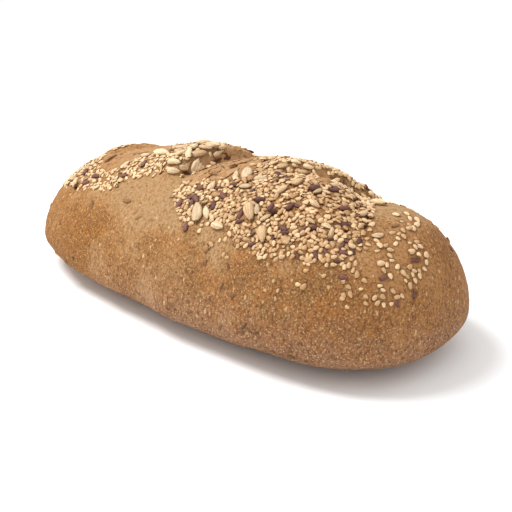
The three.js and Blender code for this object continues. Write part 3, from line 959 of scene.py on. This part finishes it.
    def scatter(self, kind, tries, density, pile_limit, cover_limit, random):
        """Seeds at random cells, each kept by the density there, until the tries run out."""
        area = self.step_along * self.step_across * density
        chosen = random.choice(area.size, tries, p=(area / area.sum()).ravel())
        wanted = random.random(tries) < density.ravel()[chosen]
        headings = random.uniform(0, 2 * math.pi, tries)
        sizes = np.clip(random.normal(1, kind.spread, tries), 1 - 2.2 * kind.spread, 1 + 2.5 * kind.spread)
        tilts = np.clip(random.normal(0, 0.15, (tries, 2)), -0.35, 0.35)
        laid = []
        rolled = zip(chosen[wanted], headings[wanted], sizes[wanted], tilts[wanted])
        for cell, heading, size, tilt in rolled:
            i, j = divmod(int(cell), area.shape[1])
            place = self.lay(i, j, kind, size, heading, tilt, pile_limit[i, j], cover_limit[i, j])
            if place is not None:
                laid.append((*place, size))
        return laid


def as_laid(found):
    """A kind's seeds, laid one by one, as whole arrays."""
    centres, axes, sizes = zip(*found)
    return Laid(np.array(centres), np.array(axes), np.array(sizes))


@functools.lru_cache(maxsize=1)
def seed_bed():
    """All seeds: first those read from the picture, then rounds of each kind in turn, so that they
    overlap as they fell, and last the grains baked into the bare crust."""
    random = np.random.default_rng(20)
    bed = Bed()
    x, y = bed.points[..., 0], bed.points[..., 1]
    ragged = 3 * lattice_noise(bed.points, 5 * MM, 15)
    seen = np.where(bed.facing, outline_distance(BED_OUTLINE, bed.column, bed.row) + ragged, np.nan)
    inside = bed_share(x, y, seen)
    lobe = right_lobe(x, y)
    found = {
        name: [laid for spot in SEEN.get(name, ()) for laid in bed.lay_seen(kind, *spot)]
        for name, kind in KINDS.items()
    }
    clear = 1 - patch_share(BARE_PATCHES, x, y, bed.points)
    clear = clear * (1 - 0.97 * smooth_step(0.05, 0.45, bed.torn)) * smooth_step(0.5, 0.25, bed.deep_shade)
    bare = spots_share([(*spot, 1.6) for spot in BARE_SPOTS], bed.points)
    clear = clear * (1 - 0.9 * smooth_step(0.35, 0.75, bare + 0.25 * lattice_noise(bed.points, 3 * MM, 16)))
    hidden = ~bed.facing
    dense = inside * clear * (1 - 0.72 * lobe * hidden)
    mixed = inside * clear * (1 - lobe * hidden)
    patchy = smooth_step(-0.5, 0.5, lattice_noise(bed.points, 18 * MM, 5))
    rich = patch_share(KERNEL_PATCHES, x, y, bed.points, 1.3, 0.6)
    kernels_here = mixed * (0.12 + rich) * (0.6 + 0.4 * patchy) * (0.25 + 0.4 * hidden)
    linseeds_here = mixed * (0.3 + 0.7 * (1 - patchy)) * (1 - 0.6 * rich) * (0.35 + 0.65 * hidden)
    densities = {
        "kernel": kernels_here, "pumpkin": kernels_here, "linseed": linseeds_here,
        "sesame": dense + 0.03 * hidden * (y < 0), "chip": mixed, "crumb": dense + 0.03,
    }
    high = np.full(x.shape, PILE_LIMIT)
    later = np.where(inside * (1 - lobe) > 0.5, mix(0.2, 0.45, past_tongue(x)), 0.06)
    for round_number in range(ROUNDS):
        for name, density in densities.items():
            cover = later if round_number or name == "crumb" else np.full(x.shape, FIRST_COVER)
            found[name] += bed.scatter(KINDS[name], TRIES[name], density, high, cover, random)
    off_base = smooth_step(9 * MM, 14 * MM, bed.points[..., 2])
    baked_in = (1 - inside) * (0.15 + 0.85 * hidden) * off_base
    found["grain"] += bed.scatter(GRAIN, GRAIN_TRIES, baked_in, high, np.full(x.shape, GRAIN_COVER), random)
    return {name: as_laid(places) for name, places in found.items()}


def seat_share(points):
    """1 on the crust under a seed and close round it, and 0 well off it: each seed is an ellipse in its
    own plane, and only the rings of points beside it are looked at."""
    share = np.zeros(points.shape[:-1])
    stations = points[..., 0].mean(axis=1)
    for name in SEATED:
        kind = KINDS[name]
        laid = seed_bed()[name]
        for centre, axes, size in zip(*laid):
            low, high = np.searchsorted(stations, (centre[0] - kind.length, centre[0] + kind.length))
            along, across, up = np.moveaxis((points[low:high] - centre) @ axes.T, -1, 0)
            reach = np.hypot(along / (size * kind.length / 2), across / (size * kind.width / 2))
            seat = smooth_step(1.7, 0.95, reach) * (np.abs(up) < 3 * MM)
            share[low:high] = np.maximum(share[low:high], seat)
    return share


def seed_points(kind):
    """Unit seed: rings round the X axis at equal angles between its two ends, as a sphere."""
    lean = np.linspace(0, math.pi, kind.rings + 1)[1:-1, None]
    turn = np.linspace(0, 2 * math.pi, kind.sides, endpoint=False)[None, :]
    rings = np.stack([
        np.cos(lean) + 0 * turn, np.sin(lean) * np.cos(turn), np.sin(lean) * np.sin(turn)
    ], axis=-1)
    return np.concatenate([[[1, 0, 0]], rings.reshape(-1, 3), [[-1, 0, 0]]])


def seeds_mesh(name, kind, laid, seed):
    """All seeds of a kind as one mesh: the unit seed narrowed towards its +X end, bent a little,
    jagged by random shifts, stretched to size and turned to its own axes. The attribute holds a random
    tone, browner on the near side towards the last lobe and paler on the far side, and the places
    along the seed, up it and across it."""
    random = np.random.default_rng(seed)
    plain = seed_points(kind)
    count, corners = len(laid.sizes), len(plain)
    shape = np.broadcast_to(plain, (count, corners, 3)).copy()
    taper = kind.taper * random.uniform(0.7, 1.3, (count, 1))
    narrow = 1 - taper * shape[..., 0] - 0.12 * shape[..., 0] ** 2
    narrow = narrow * (1 - 0.32 * np.maximum(shape[..., 0], 0) ** 3)
    shape[..., 1] *= narrow * random.uniform(0.88, 1.12, (count, 1))
    shape[..., 2] *= mix(1, narrow, 0.5) * random.uniform(0.85, 1.15, (count, 1))
    bend = random.normal(0, 0.1, (count, 2))
    shape[..., 1] += bend[:, :1] * shape[..., 0] ** 2
    shape[..., 2] += bend[:, 1:] * shape[..., 0] ** 2
    shape += kind.jag * random.normal(size=shape.shape)
    half = np.array([kind.length, kind.width, kind.thick]) / 2
    sized = shape * half * laid.sizes[:, None, None]
    points = laid.centres[:, None, :] + np.einsum("nki,nij->nkj", sized, laid.axes)
    around, rings = kind.sides, kind.rings - 1
    quads = tube_faces(rings, around, 1)
    ends = np.concatenate([
        end_faces(0, 1, around, False),
        end_faces(corners - 1, 1 + (rings - 1) * around, around, True),
    ])
    shift = (np.arange(count) * corners)[:, None, None]
    x, y = laid.centres[:, :1], laid.centres[:, 1:2]
    # a shift of the seeds' tone: browner on the near side towards +X, less on the last lobe, paler on the
    # far side
    baked = smooth_step(-40 * MM, 70 * MM, x) * smooth_step(18 * MM, -8 * MM, y)
    baked *= 0.3 - 0.2 * right_lobe(x, y)
    baked -= 0.25 * smooth_step(0, 14 * MM, y)
    tone = np.broadcast_to(np.clip(0.7 * random.random((count, 1)) + baked, 0, 1), (count, corners))
    seed_map = np.stack([tone, *((plain[:, axis] + 1) / 2 + 0 * tone for axis in (0, 2, 1))], axis=-1)
    return new_mesh(
        name,
        points.reshape(-1, 3),
        (quads[None] + shift).reshape(-1, 4)[:, ::-1],
        (ends[None] + shift).reshape(-1, 3)[:, ::-1],
        {"seed_map": seed_map.reshape(-1, 4)},
    )


# Shaders


class Wire:
    """A socket in an expression: each operator adds its Math node, on either side of a number."""

    def __init__(self, graph, socket):
        self.graph = graph
        self.socket = socket

    def __add__(self, other):
        return self.graph.maths("ADD", self, other)

    def __sub__(self, other):
        return self.graph.maths("SUBTRACT", self, other)

    def __rsub__(self, other):
        return self.graph.maths("SUBTRACT", other, self)

    def __mul__(self, other):
        return self.graph.maths("MULTIPLY", self, other)

    def __truediv__(self, other):
        return self.graph.maths("DIVIDE", self, other)

    __radd__ = __add__
    __rmul__ = __mul__

    def larger(self, other):
        return self.graph.maths("MAXIMUM", self, other)


class Graph:
    """The node tree of one material, written as Python expressions."""

    def __init__(self, name, **constants):
        self.material = bpy.data.materials.new(name)
        self.material.use_nodes = True
        self.tree = self.material.node_tree
        self.shader = self.tree.nodes["Principled BSDF"]
        for socket, value in constants.items():
            self.shader.inputs[socket.replace("_", " ")].default_value = value

    def node(self, kind, settings, inputs, output=0):
        """A node of this kind: its settings first, then the values or wires of its sockets."""
        made = self.tree.nodes.new(kind)
        for key, value in settings.items():
            setattr(made, key, value)
        for key, value in inputs.items():
            socket = made.inputs[key]
            if isinstance(value, Wire):
                self.tree.links.new(value.socket, socket)
            else:
                socket.default_value = tuple(value) if hasattr(value, "__len__") else value
        return Wire(self, made.outputs[output])

    def maths(self, operation, a, b):
        return self.node("ShaderNodeMath", {"operation": operation}, {0: a, 1: b})

    def place(self, stretch=(1, 1, 1)):
        """Object coordinates, stretched."""
        spot = self.node("ShaderNodeTexCoord", {}, {}, "Object")
        return self.node("ShaderNodeMapping", {}, {"Vector": spot, "Scale": stretch})

    def noise(self, place, size, detail=3.0, rough=0.55):
        """Cloudy noise from 0 to 1 with features of this size, in metres."""
        return self.node("ShaderNodeTexNoise", {}, {
            "Vector": place, "Scale": 1 / size, "Detail": detail, "Roughness": rough,
        })

    def cells(self, place, size):
        """The distance to the nearest of scattered points, this far apart, in metres."""
        return self.node("ShaderNodeTexVoronoi", {}, {"Vector": place, "Scale": 1 / size}, "Distance")

    def step(self, value, low, high):
        """0 up to low and 1 from high on, eased between them, or falling where low is the larger."""
        return self.node("ShaderNodeMapRange", {"interpolation_type": "SMOOTHSTEP"}, {
            "Value": value, "From Min": low, "From Max": high,
        })

    def attribute(self, name, part):
        """One part, Red, Green, Blue or Alpha, of a colour attribute."""
        if part == "Alpha":
            return self.node("ShaderNodeAttribute", {"attribute_name": name}, {}, part)
        layer = self.node("ShaderNodeAttribute", {"attribute_name": name}, {}, "Color")
        return self.node("ShaderNodeSeparateColor", {}, {"Color": layer}, part)

    def place_part(self, axis):
        """The object coordinate along one axis: X, Y or Z."""
        spot = self.node("ShaderNodeTexCoord", {}, {}, "Object")
        return self.node("ShaderNodeSeparateXYZ", {}, {"Vector": spot}, axis)

    def blend(self, factor, a, b):
        """Colour a turned into colour b by a factor."""
        return self.node("ShaderNodeMix", {"data_type": "RGBA"}, {0: factor, 6: a, 7: b}, 2)

    def bump(self, height, depth, strength):
        """The normals of a surface raised by a height times a depth, in metres."""
        return self.node("ShaderNodeBump", {}, {"Height": height, "Distance": depth, "Strength": strength})

    def feed(self, socket, wire):
        """Lead a wire into a socket of the shader."""
        self.tree.links.new(wire.socket, self.shader.inputs[socket])


def colour(red, green, blue):
    """A linear colour from the 0 to 255 values seen on a screen."""
    channels = [c / 255 for c in (red, green, blue)]
    return (*(c / 12.92 if c <= 0.04045 else ((c + 0.055) / 1.055) ** 2.4 for c in channels), 1.0)


def crust_material(settings):
    """Baked wholegrain crust: smooth tan on top, blotched with browner and warmer patches down the
    sides, where it turns sandy, golden towards -X, redder at the +X end and greyer near the tray, with
    short floury streaks, fine scratches and flecks of bran, and with shade painted into its pits and
    round the seeds; torn dough in the slashes is smoother, with shade painted into its crevices."""
    g = Graph("wholegrain_crust", Roughness=0.85, Specular_IOR_Level=0.2)
    spot = g.place()
    upright = g.place((1, 1, 0.5))
    height = g.place_part("Z")
    blotch = g.noise(upright, 21 * MM, 5, 0.6)
    warmth = g.noise(spot, 15 * MM, 4, 0.6)
    patches = g.noise(spot, 6 * MM, 4)
    sand = g.noise(upright, 1.3 * MM, 4, 0.72)
    dots = g.noise(spot, 0.95 * MM, 2, 0.6)
    # the spots: paler and browner crust, and in two places painted light
    spots = g.attribute("crust_map", "Alpha") - 0.5
    pale = blotch + (height / 0.09 - 0.5) * 0.4 + (patches - 0.5) * 0.3 + (sand - 0.5) * 0.3 + spots * 0.45
    brown = g.step(pale, 0.76, 0.34)
    tone = g.blend(brown, settings.top_colour, settings.side_colour)
    warm = g.step(warmth + (patches - 0.5) * 0.3 - spots * 0.25, 0.46, 0.64) * (0.08 + 0.65 * brown)
    warm = warm.larger(g.step(g.place_part("X") + (patches - 0.5) * 0.02, 0.095, 0.128) * 0.6)
    tone = g.blend(warm, tone, settings.warm_colour)
    low = g.step(height + (patches - 0.5) * 0.04, 44 * MM, 1 * MM) * g.step(g.place_part("X"), -0.13, 0.03)
    tone = g.blend(low * 0.85, tone, settings.base_colour)
    golden = g.step(g.place_part("X"), 0.06, -0.07) * (0.18 + 0.52 * brown) * (1 - 0.5 * low)
    tone = g.blend(golden, tone, settings.golden_colour)
    crumbs = g.noise(spot, 2.6 * MM, 3)
    tone = g.blend(g.step(crumbs, 0.5, 0.34) * 0.5, tone, settings.side_colour)
    sandy = 0.55 + 0.45 * brown
    tone = g.blend(g.step(sand, 0.56, 0.34) * sandy * 0.9, tone, settings.dark_mottle)
    tone = g.blend(g.step(dots, 0.53, 0.72) * (0.3 + 0.5 * brown + 0.5 * low), tone, settings.pale_mottle)
    tone = g.blend(g.step(dots, 0.45, 0.27) * (0.2 + 0.5 * brown), tone, settings.dark_mottle)
    streaks = g.cells(g.place((1, 1, 0.42)), 4.6 * MM)
    floury = g.step(streaks + (patches - 0.5) * 0.35, 0.15, 0.07)
    tone = g.blend(floury * 0.85, tone, settings.pale_mottle)
    for scratch in ((1, 0.22, 0.6), (0.25, 1, 0.5)):
        fine = g.noise(g.place(scratch), 1.3 * MM, 3, 0.6)
        tone = g.blend(g.step(fine, 0.62, 0.74) * 0.5, tone, settings.dark_mottle)
    bran = g.cells(g.place((0.5, 0.5, 1)), 5.2 * MM)
    tone = g.blend(g.step(bran + (warmth - 0.5) * 0.6, 0.1, 0.04) * 0.6, tone, settings.bran_and_shade_colour)
    torn = g.attribute("crust_map", "Red")
    deep_shade = g.attribute("crust_map", "Green")
    pit_and_seat_shade = g.attribute("crust_map", "Blue")
    strands = g.step(crumbs + (sand - 0.5) * 0.5, 0.56, 0.36)
    dough = g.blend(strands * 0.7, settings.torn_colour, settings.side_colour)
    tone = g.blend(torn * 0.85, tone, dough)
    # painted shade in the crevices under the ears and in the cavities
    tone = g.blend(g.step(deep_shade + (sand - 0.5) * 0.2, 0.4, 0.8) * 0.93, tone, settings.crevice_shade_colour)
    # painted shade in the pits and round the seeds, in the bran colour
    tone = g.blend(pit_and_seat_shade * 0.6, tone, settings.bran_and_shade_colour)
    g.feed("Base Color", tone)
    rough = sand * 1.2 + crumbs * 0.9 + dots * 0.4
    g.feed("Normal", g.bump(rough * sandy * (1 - torn * 0.5), 1.1 * MM, 1.0))
    return g.material


def seed_material(name, pale, dark, rim, roughness, grooved=0.0):
    """A seed's skin: a random tone between two colours, browner at its ends, and darker round its lower
    rim, partly toasted and partly painted shade where it meets the crust, with grooves along it where
    it is grooved."""
    g = Graph(name, Roughness=roughness, Specular_IOR_Level=0.35)
    tone = g.attribute("seed_map", "Red")
    along = g.attribute("seed_map", "Green")
    height = g.attribute("seed_map", "Blue")
    clouds = g.noise(g.place(), 1.4 * MM, 2)
    skin = g.blend(g.step(tone + (clouds - 0.5) * 0.8, 0.1, 1.0), pale, dark)
    tip = g.step(along, 0.8, 1.0) + g.step(along, 0.12, 0.0)
    skin = g.blend(tip * 0.5, skin, rim)
    # lower rim: partly toasted colour, partly painted shade where the seed meets the crust
    skin = g.blend(g.step(height + (clouds - 0.5) * 0.2, 0.7, 0.4) * (0.35 + tone * 0.5), skin, rim)
    if grooved:
        across = g.attribute("seed_map", "Alpha")
        lined = g.node("ShaderNodeCombineXYZ", {}, {0: across * 7.0, 1: along * 1.1, 2: tone * 60.0})
        lines = g.noise(lined, 1.0, 2, 0.6)
        skin = g.blend(g.step(lines, 0.58, 0.36) * grooved, skin, rim)
        g.feed("Base Color", skin)
        g.feed("Normal", g.bump(lines, 0.7 * MM, 1.0))
        return g.material
    g.feed("Base Color", skin)
    g.feed("Normal", g.bump(g.noise(g.place(), 0.6 * MM, 2), 0.15 * MM, 0.7))
    return g.material


def floor_material(settings):
    """An even, matt floor."""
    return Graph("pale_floor", Roughness=0.9, Base_Color=tuple(settings.floor_colour)).material


# Settings


def colour_property(name, description, red, green, blue):
    """A colour setting whose default is given by the 0 to 255 values seen on a screen."""
    return bpy.props.FloatVectorProperty(
        name=name, description=description, subtype="COLOR", size=4, min=0, max=1,
        default=colour(red, green, blue),
    )


class CrustSettings(bpy.types.PropertyGroup):
    top_colour: colour_property("Top", "Crust on the top of the loaf", 174, 140, 99)
    side_colour: colour_property("Sides", "Crust on the sides", 148, 104, 57)
    warm_colour: colour_property("Warm patches", "Patches baked a little redder", 165, 106, 52)
    base_colour: colour_property("Base", "Crust just above the tray", 160, 121, 99)
    dark_mottle: colour_property("Dark mottle", "Small dark spots of the crust", 104, 68, 42)
    pale_mottle: colour_property("Pale mottle", "Floury dots of the crust", 206, 170, 124)
    golden_colour: colour_property("Golden end", "Crust towards the lower end of the loaf", 158, 102, 36)
    # the bran flecks' colour, also used for the shade painted in the pits and round the seeds
    bran_and_shade_colour: colour_property("Bran", "Flecks of bran", 88, 56, 34)
    torn_colour: colour_property("Torn dough", "Dough bared in the slashes", 174, 136, 98)
    # colour of the shade painted in the crevices and cavities
    crevice_shade_colour: colour_property("Crevices", "Depth under the ears", 80, 44, 20)


class SeedSettings(bpy.types.PropertyGroup):
    sesame_pale: colour_property("Sesame, pale", "Palest sesame seeds", 225, 191, 147)
    sesame_dark: colour_property("Sesame, toasted", "Most toasted sesame seeds", 184, 141, 94)
    # toasted rim colour that also paints the shade round the seeds' lower rims
    seed_rim_and_shade: colour_property("Seed rims", "Toasted rims of the pale seeds", 142, 102, 63)
    kernel_pale: colour_property("Kernels, pale", "Palest sunflower kernels", 236, 208, 168)
    kernel_dark: colour_property("Kernels, toasted", "Most toasted sunflower kernels", 203, 169, 126)
    linseed_pale: colour_property("Linseed, light", "Lightest linseeds", 116, 72, 62)
    linseed_dark: colour_property("Linseed, dark", "Darkest linseeds", 76, 41, 36)
    pumpkin_pale: colour_property("Pumpkin kernels, light", "Lightest pumpkin kernels", 210, 186, 150)
    pumpkin_dark: colour_property("Pumpkin kernels, dark", "Darkest pumpkin kernels", 182, 156, 114)
    grain_pale: colour_property("Whole grains, light", "Lightest grains baked into the crust", 152, 110, 68)
    grain_dark: colour_property("Whole grains, dark", "Darkest grains baked into the crust", 98, 66, 40)
    chip_pale: colour_property("Grain chips, pale", "Palest chips of grain", 214, 178, 130)
    chip_dark: colour_property("Grain chips, brown", "Brownest chips of grain", 160, 116, 74)


class StageSettings(bpy.types.PropertyGroup):
    azimuth: bpy.props.FloatProperty(
        name="Camera azimuth", description="Camera's turn round the loaf", subtype="ANGLE",
        default=math.radians(AZIMUTH),
    )
    elevation: bpy.props.FloatProperty(
        name="Camera elevation", description="Camera's rise", subtype="ANGLE",
        default=math.radians(ELEVATION),
    )
    distance: bpy.props.FloatProperty(
        name="Camera distance", description="From the camera to its target", unit="LENGTH", default=DISTANCE
    )
    target_right: bpy.props.FloatProperty(
        name="Target right", description="Target's shift to the right", unit="LENGTH", default=AIM_RIGHT
    )
    target_up: bpy.props.FloatProperty(
        name="Target up", description="Target's shift upward", unit="LENGTH", default=AIM_UP
    )
    target_height: bpy.props.FloatProperty(
        name="Target height", description="Height of the unshifted target", unit="LENGTH",
        default=AIM_HEIGHT,
    )
    lens: bpy.props.FloatProperty(name="Lens", description="Focal length in millimetres", default=LENS)
    floor_colour: colour_property("Floor", "Colour of the floor", 250, 250, 250)
    sky_strength: bpy.props.FloatProperty(
        name="Sky", description="Strength of the even light", default=0.96
    )
    key_power: bpy.props.FloatProperty(
        name="Key light", description="Power in watts", unit="POWER", default=14
    )


# Operators

# How strongly shade is painted on the crust round the seeds: on the -X end and past the tongue, and more on
# the last lobe
SEAT_SHADE = (0.12, 0.3)
LOBE_SEAT_SHADE = 0.42
# The stage, in metres: half the floor's side, and the lamp's place, aim and size
FLOOR_HALF = 4.0
KEY_PLACE = (-0.55, -0.3, 1.1)
KEY_TARGET = (0, 0, 0.04)
KEY_SIZE = 0.6


class BREAD_OT_crust(bpy.types.Operator):
    """Make the crust, which stands for the solid loaf"""

    bl_idname = "bread.crust"
    bl_label = "Crust"

    def execute(self, context):
        stations = loaf_stations(STATIONS)[1:-1]
        angles = section_angles(AROUND)
        x, angle = np.meshgrid(stations, angles, indexing="ij")
        points, torn, deep_shade, pits = crust_relief(x, angle)
        lobe = right_lobe(points[..., 0], points[..., 1])
        seat_shade = mix(*SEAT_SHADE, past_tongue(points[..., 0])) + LOBE_SEAT_SHADE * lobe
        # blue mask: painted shade in the pits and round the seeds
        pits = np.maximum(pits, seat_shade * seat_share(points))
        tips = np.array([[-HALF, 0, BELLY], [HALF, 0, BELLY]])
        flat = np.concatenate([tips[:1], points.reshape(-1, 3), tips[1:]])
        rings, around = points.shape[:2]
        quads = tube_faces(rings, around, 1)
        ends = np.concatenate([
            end_faces(0, 1, around, True),
            end_faces(len(flat) - 1, 1 + (rings - 1) * around, around, False),
        ])
        masks = np.stack([torn, deep_shade, pits, 0.5 + 0.5 * spots_share(SPOTS, points)], axis=-1).reshape(-1, 4)
        masks = np.concatenate([[[0, 0, 0, 0.5]], masks, [[0, 0, 0, 0.5]]])
        piece = new_mesh("crust", flat, quads, ends, {"crust_map": masks})
        piece.data.materials.append(crust_material(context.scene.bread_crust))
        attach(piece, "root")
        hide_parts("loaf")
        return {"FINISHED"}


class BREAD_OT_folds(bpy.types.Operator):
    """Lay the folds of torn dough in the slashes"""

    bl_idname = "bread.folds"
    bl_label = "Torn folds"

    def execute(self, context):
        points, shade = fold_sheets()
        count, rings, around = points.shape[:3]
        first = (np.arange(count) * rings * around)[:, None, None]
        quads = (tube_faces(rings, around)[None] + first).reshape(-1, 4)
        # green: painted shade on the folds' undersides and in the cavities
        masks = np.stack([1 + 0 * shade, shade, 0 * shade, 0.5 + 0 * shade], axis=-1)
        piece = new_mesh("folds", points.reshape(-1, 3), quads, None, {"crust_map": masks.reshape(-1, 4)})
        piece.data.materials.append(bpy.data.materials["wholegrain_crust"])
        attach(piece, "root")
        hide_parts("loaf")
        return {"FINISHED"}


def add_seeds(name, seed, material):
    """One kind of seed as a piece that rides with the loaf; the seed number picks its shapes."""
    piece = seeds_mesh(name, KINDS[name], seed_bed()[name], seed)
    piece.data.materials.append(material)
    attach(piece, "root")
    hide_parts("loaf")


class BREAD_OT_sesame(bpy.types.Operator):
    """Lay the sesame"""

    bl_idname = "bread.sesame"
    bl_label = "Sesame"

    def execute(self, context):
        s = context.scene.bread_seeds
        skin = seed_material("sesame_skin", s.sesame_pale, s.sesame_dark, s.seed_rim_and_shade, 0.5)
        add_seeds("sesame", 101, skin)
        return {"FINISHED"}


class BREAD_OT_kernels(bpy.types.Operator):
    """Lay the sunflower and pumpkin kernels"""

    bl_idname = "bread.kernels"
    bl_label = "Kernels"

    def execute(self, context):
        s = context.scene.bread_seeds
        skin = seed_material("kernel_skin", s.kernel_pale, s.kernel_dark, s.seed_rim_and_shade, 0.6, 0.5)
        add_seeds("kernel", 102, skin)
        skin = seed_material("pumpkin_skin", s.pumpkin_pale, s.pumpkin_dark, s.seed_rim_and_shade, 0.5, 0.35)
        add_seeds("pumpkin", 107, skin)
        return {"FINISHED"}


class BREAD_OT_linseed(bpy.types.Operator):
    """Lay the linseed"""

    bl_idname = "bread.linseed"
    bl_label = "Linseed"

    def execute(self, context):
        s = context.scene.bread_seeds
        skin = seed_material("linseed_skin", s.linseed_pale, s.linseed_dark, s.linseed_dark, 0.62)
        add_seeds("linseed", 103, skin)
        return {"FINISHED"}


class BREAD_OT_chips(bpy.types.Operator):
    """Lay the grains baked into the crust, the chips of grain and the crumbs"""

    bl_idname = "bread.chips"
    bl_label = "Chips and crumbs"

    def execute(self, context):
        s = context.scene.bread_seeds
        bran = seed_material("bran_grain", s.grain_pale, s.grain_dark, s.grain_dark, 0.75)
        add_seeds("grain", 106, bran)
        skin = seed_material("grain_chip", s.chip_pale, s.chip_dark, s.seed_rim_and_shade, 0.7)
        add_seeds("chip", 104, skin)
        add_seeds("crumb", 105, skin)
        return {"FINISHED"}


def aimed(obj, place, target):
    """Put a lamp or camera at a place, looking at a target."""
    obj.location = place
    obj.rotation_euler = Vector(np.subtract(target, place)).to_track_quat("-Z", "Y").to_euler()


def area_light(name, place, target, size, watts):
    """A round lamp of this size and power at a place, aimed at a target."""
    lamp = bpy.data.lights.new(name, "AREA")
    lamp.shape = "DISK"
    lamp.size = size
    lamp.energy = watts
    obj = bpy.data.objects.new(name, lamp)
    bpy.context.scene.collection.objects.link(obj)
    aimed(obj, place, target)


class BREAD_OT_stage(bpy.types.Operator):
    """Set the pale floor, the soft light and the camera"""

    bl_idname = "bread.stage"
    bl_label = "Stage"

    def execute(self, context):
        scene = context.scene
        s = scene.bread_stage
        corners = FLOOR_HALF * np.array([[-1, -1, 0], [1, -1, 0], [1, 1, 0], [-1, 1, 0]])
        floor = new_mesh("floor", corners, [[0, 1, 2, 3]])
        floor.data.materials.append(floor_material(s))

        world = bpy.data.worlds.new("soft_white")
        world.use_nodes = True
        sky = world.node_tree.nodes["Background"]
        sky.inputs["Color"].default_value = (1, 1, 1, 1)
        sky.inputs["Strength"].default_value = s.sky_strength
        scene.world = world
        area_light("key", KEY_PLACE, KEY_TARGET, KEY_SIZE, s.key_power)

        back, right, up = camera_axes(s.azimuth, s.elevation)
        target = np.array([0, 0, s.target_height]) + right * s.target_right + up * s.target_up
        camera = bpy.data.cameras.new("camera")
        camera.lens = s.lens
        camera.sensor_width = SENSOR
        camera.clip_start = 0.01
        view = bpy.data.objects.new("camera", camera)
        scene.collection.objects.link(view)
        aimed(view, target + back * s.distance, target)
        scene.camera = view
        scene.view_settings.view_transform = "Standard"
        return {"FINISHED"}


class BREAD_PT_panel(bpy.types.Panel):
    """Lists the loaf's pieces and their settings"""

    bl_label = "Grain Bread"
    bl_space_type = "VIEW_3D"
    bl_region_type = "UI"
    bl_category = "Grain Bread"

    def draw(self, context):
        for operator in OPERATORS:
            self.layout.operator(operator.bl_idname)
        for group in ("bread_crust", "bread_seeds", "bread_stage"):
            settings = getattr(context.scene, group)
            for key in settings.__annotations__:
                self.layout.prop(settings, key)


OPERATORS = (
    BREAD_OT_crust, BREAD_OT_folds, BREAD_OT_sesame, BREAD_OT_kernels, BREAD_OT_linseed, BREAD_OT_chips,
    BREAD_OT_stage,
)
GROUPS = (CrustSettings, SeedSettings, StageSettings)
CLASSES = (*GROUPS, *OPERATORS, BREAD_PT_panel)


def register():
    """Make the classes and the settings known to Blender."""
    for cls in CLASSES:
        bpy.utils.register_class(cls)
    bpy.types.Scene.bread_crust = bpy.props.PointerProperty(type=CrustSettings)
    bpy.types.Scene.bread_seeds = bpy.props.PointerProperty(type=SeedSettings)
    bpy.types.Scene.bread_stage = bpy.props.PointerProperty(type=StageSettings)


def unregister():
    """Take the settings and the classes out again."""
    del bpy.types.Scene.bread_stage
    del bpy.types.Scene.bread_seeds
    del bpy.types.Scene.bread_crust
    for cls in reversed(CLASSES):
        bpy.utils.unregister_class(cls)


def main():
    """Register the add-on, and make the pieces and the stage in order."""
    register()
    bpy.ops.bread.crust()
    bpy.ops.bread.folds()
    bpy.ops.bread.sesame()
    bpy.ops.bread.kernels()
    bpy.ops.bread.linseed()
    bpy.ops.bread.chips()
    bpy.ops.bread.stage()


if __name__ == "__main__":
    main()
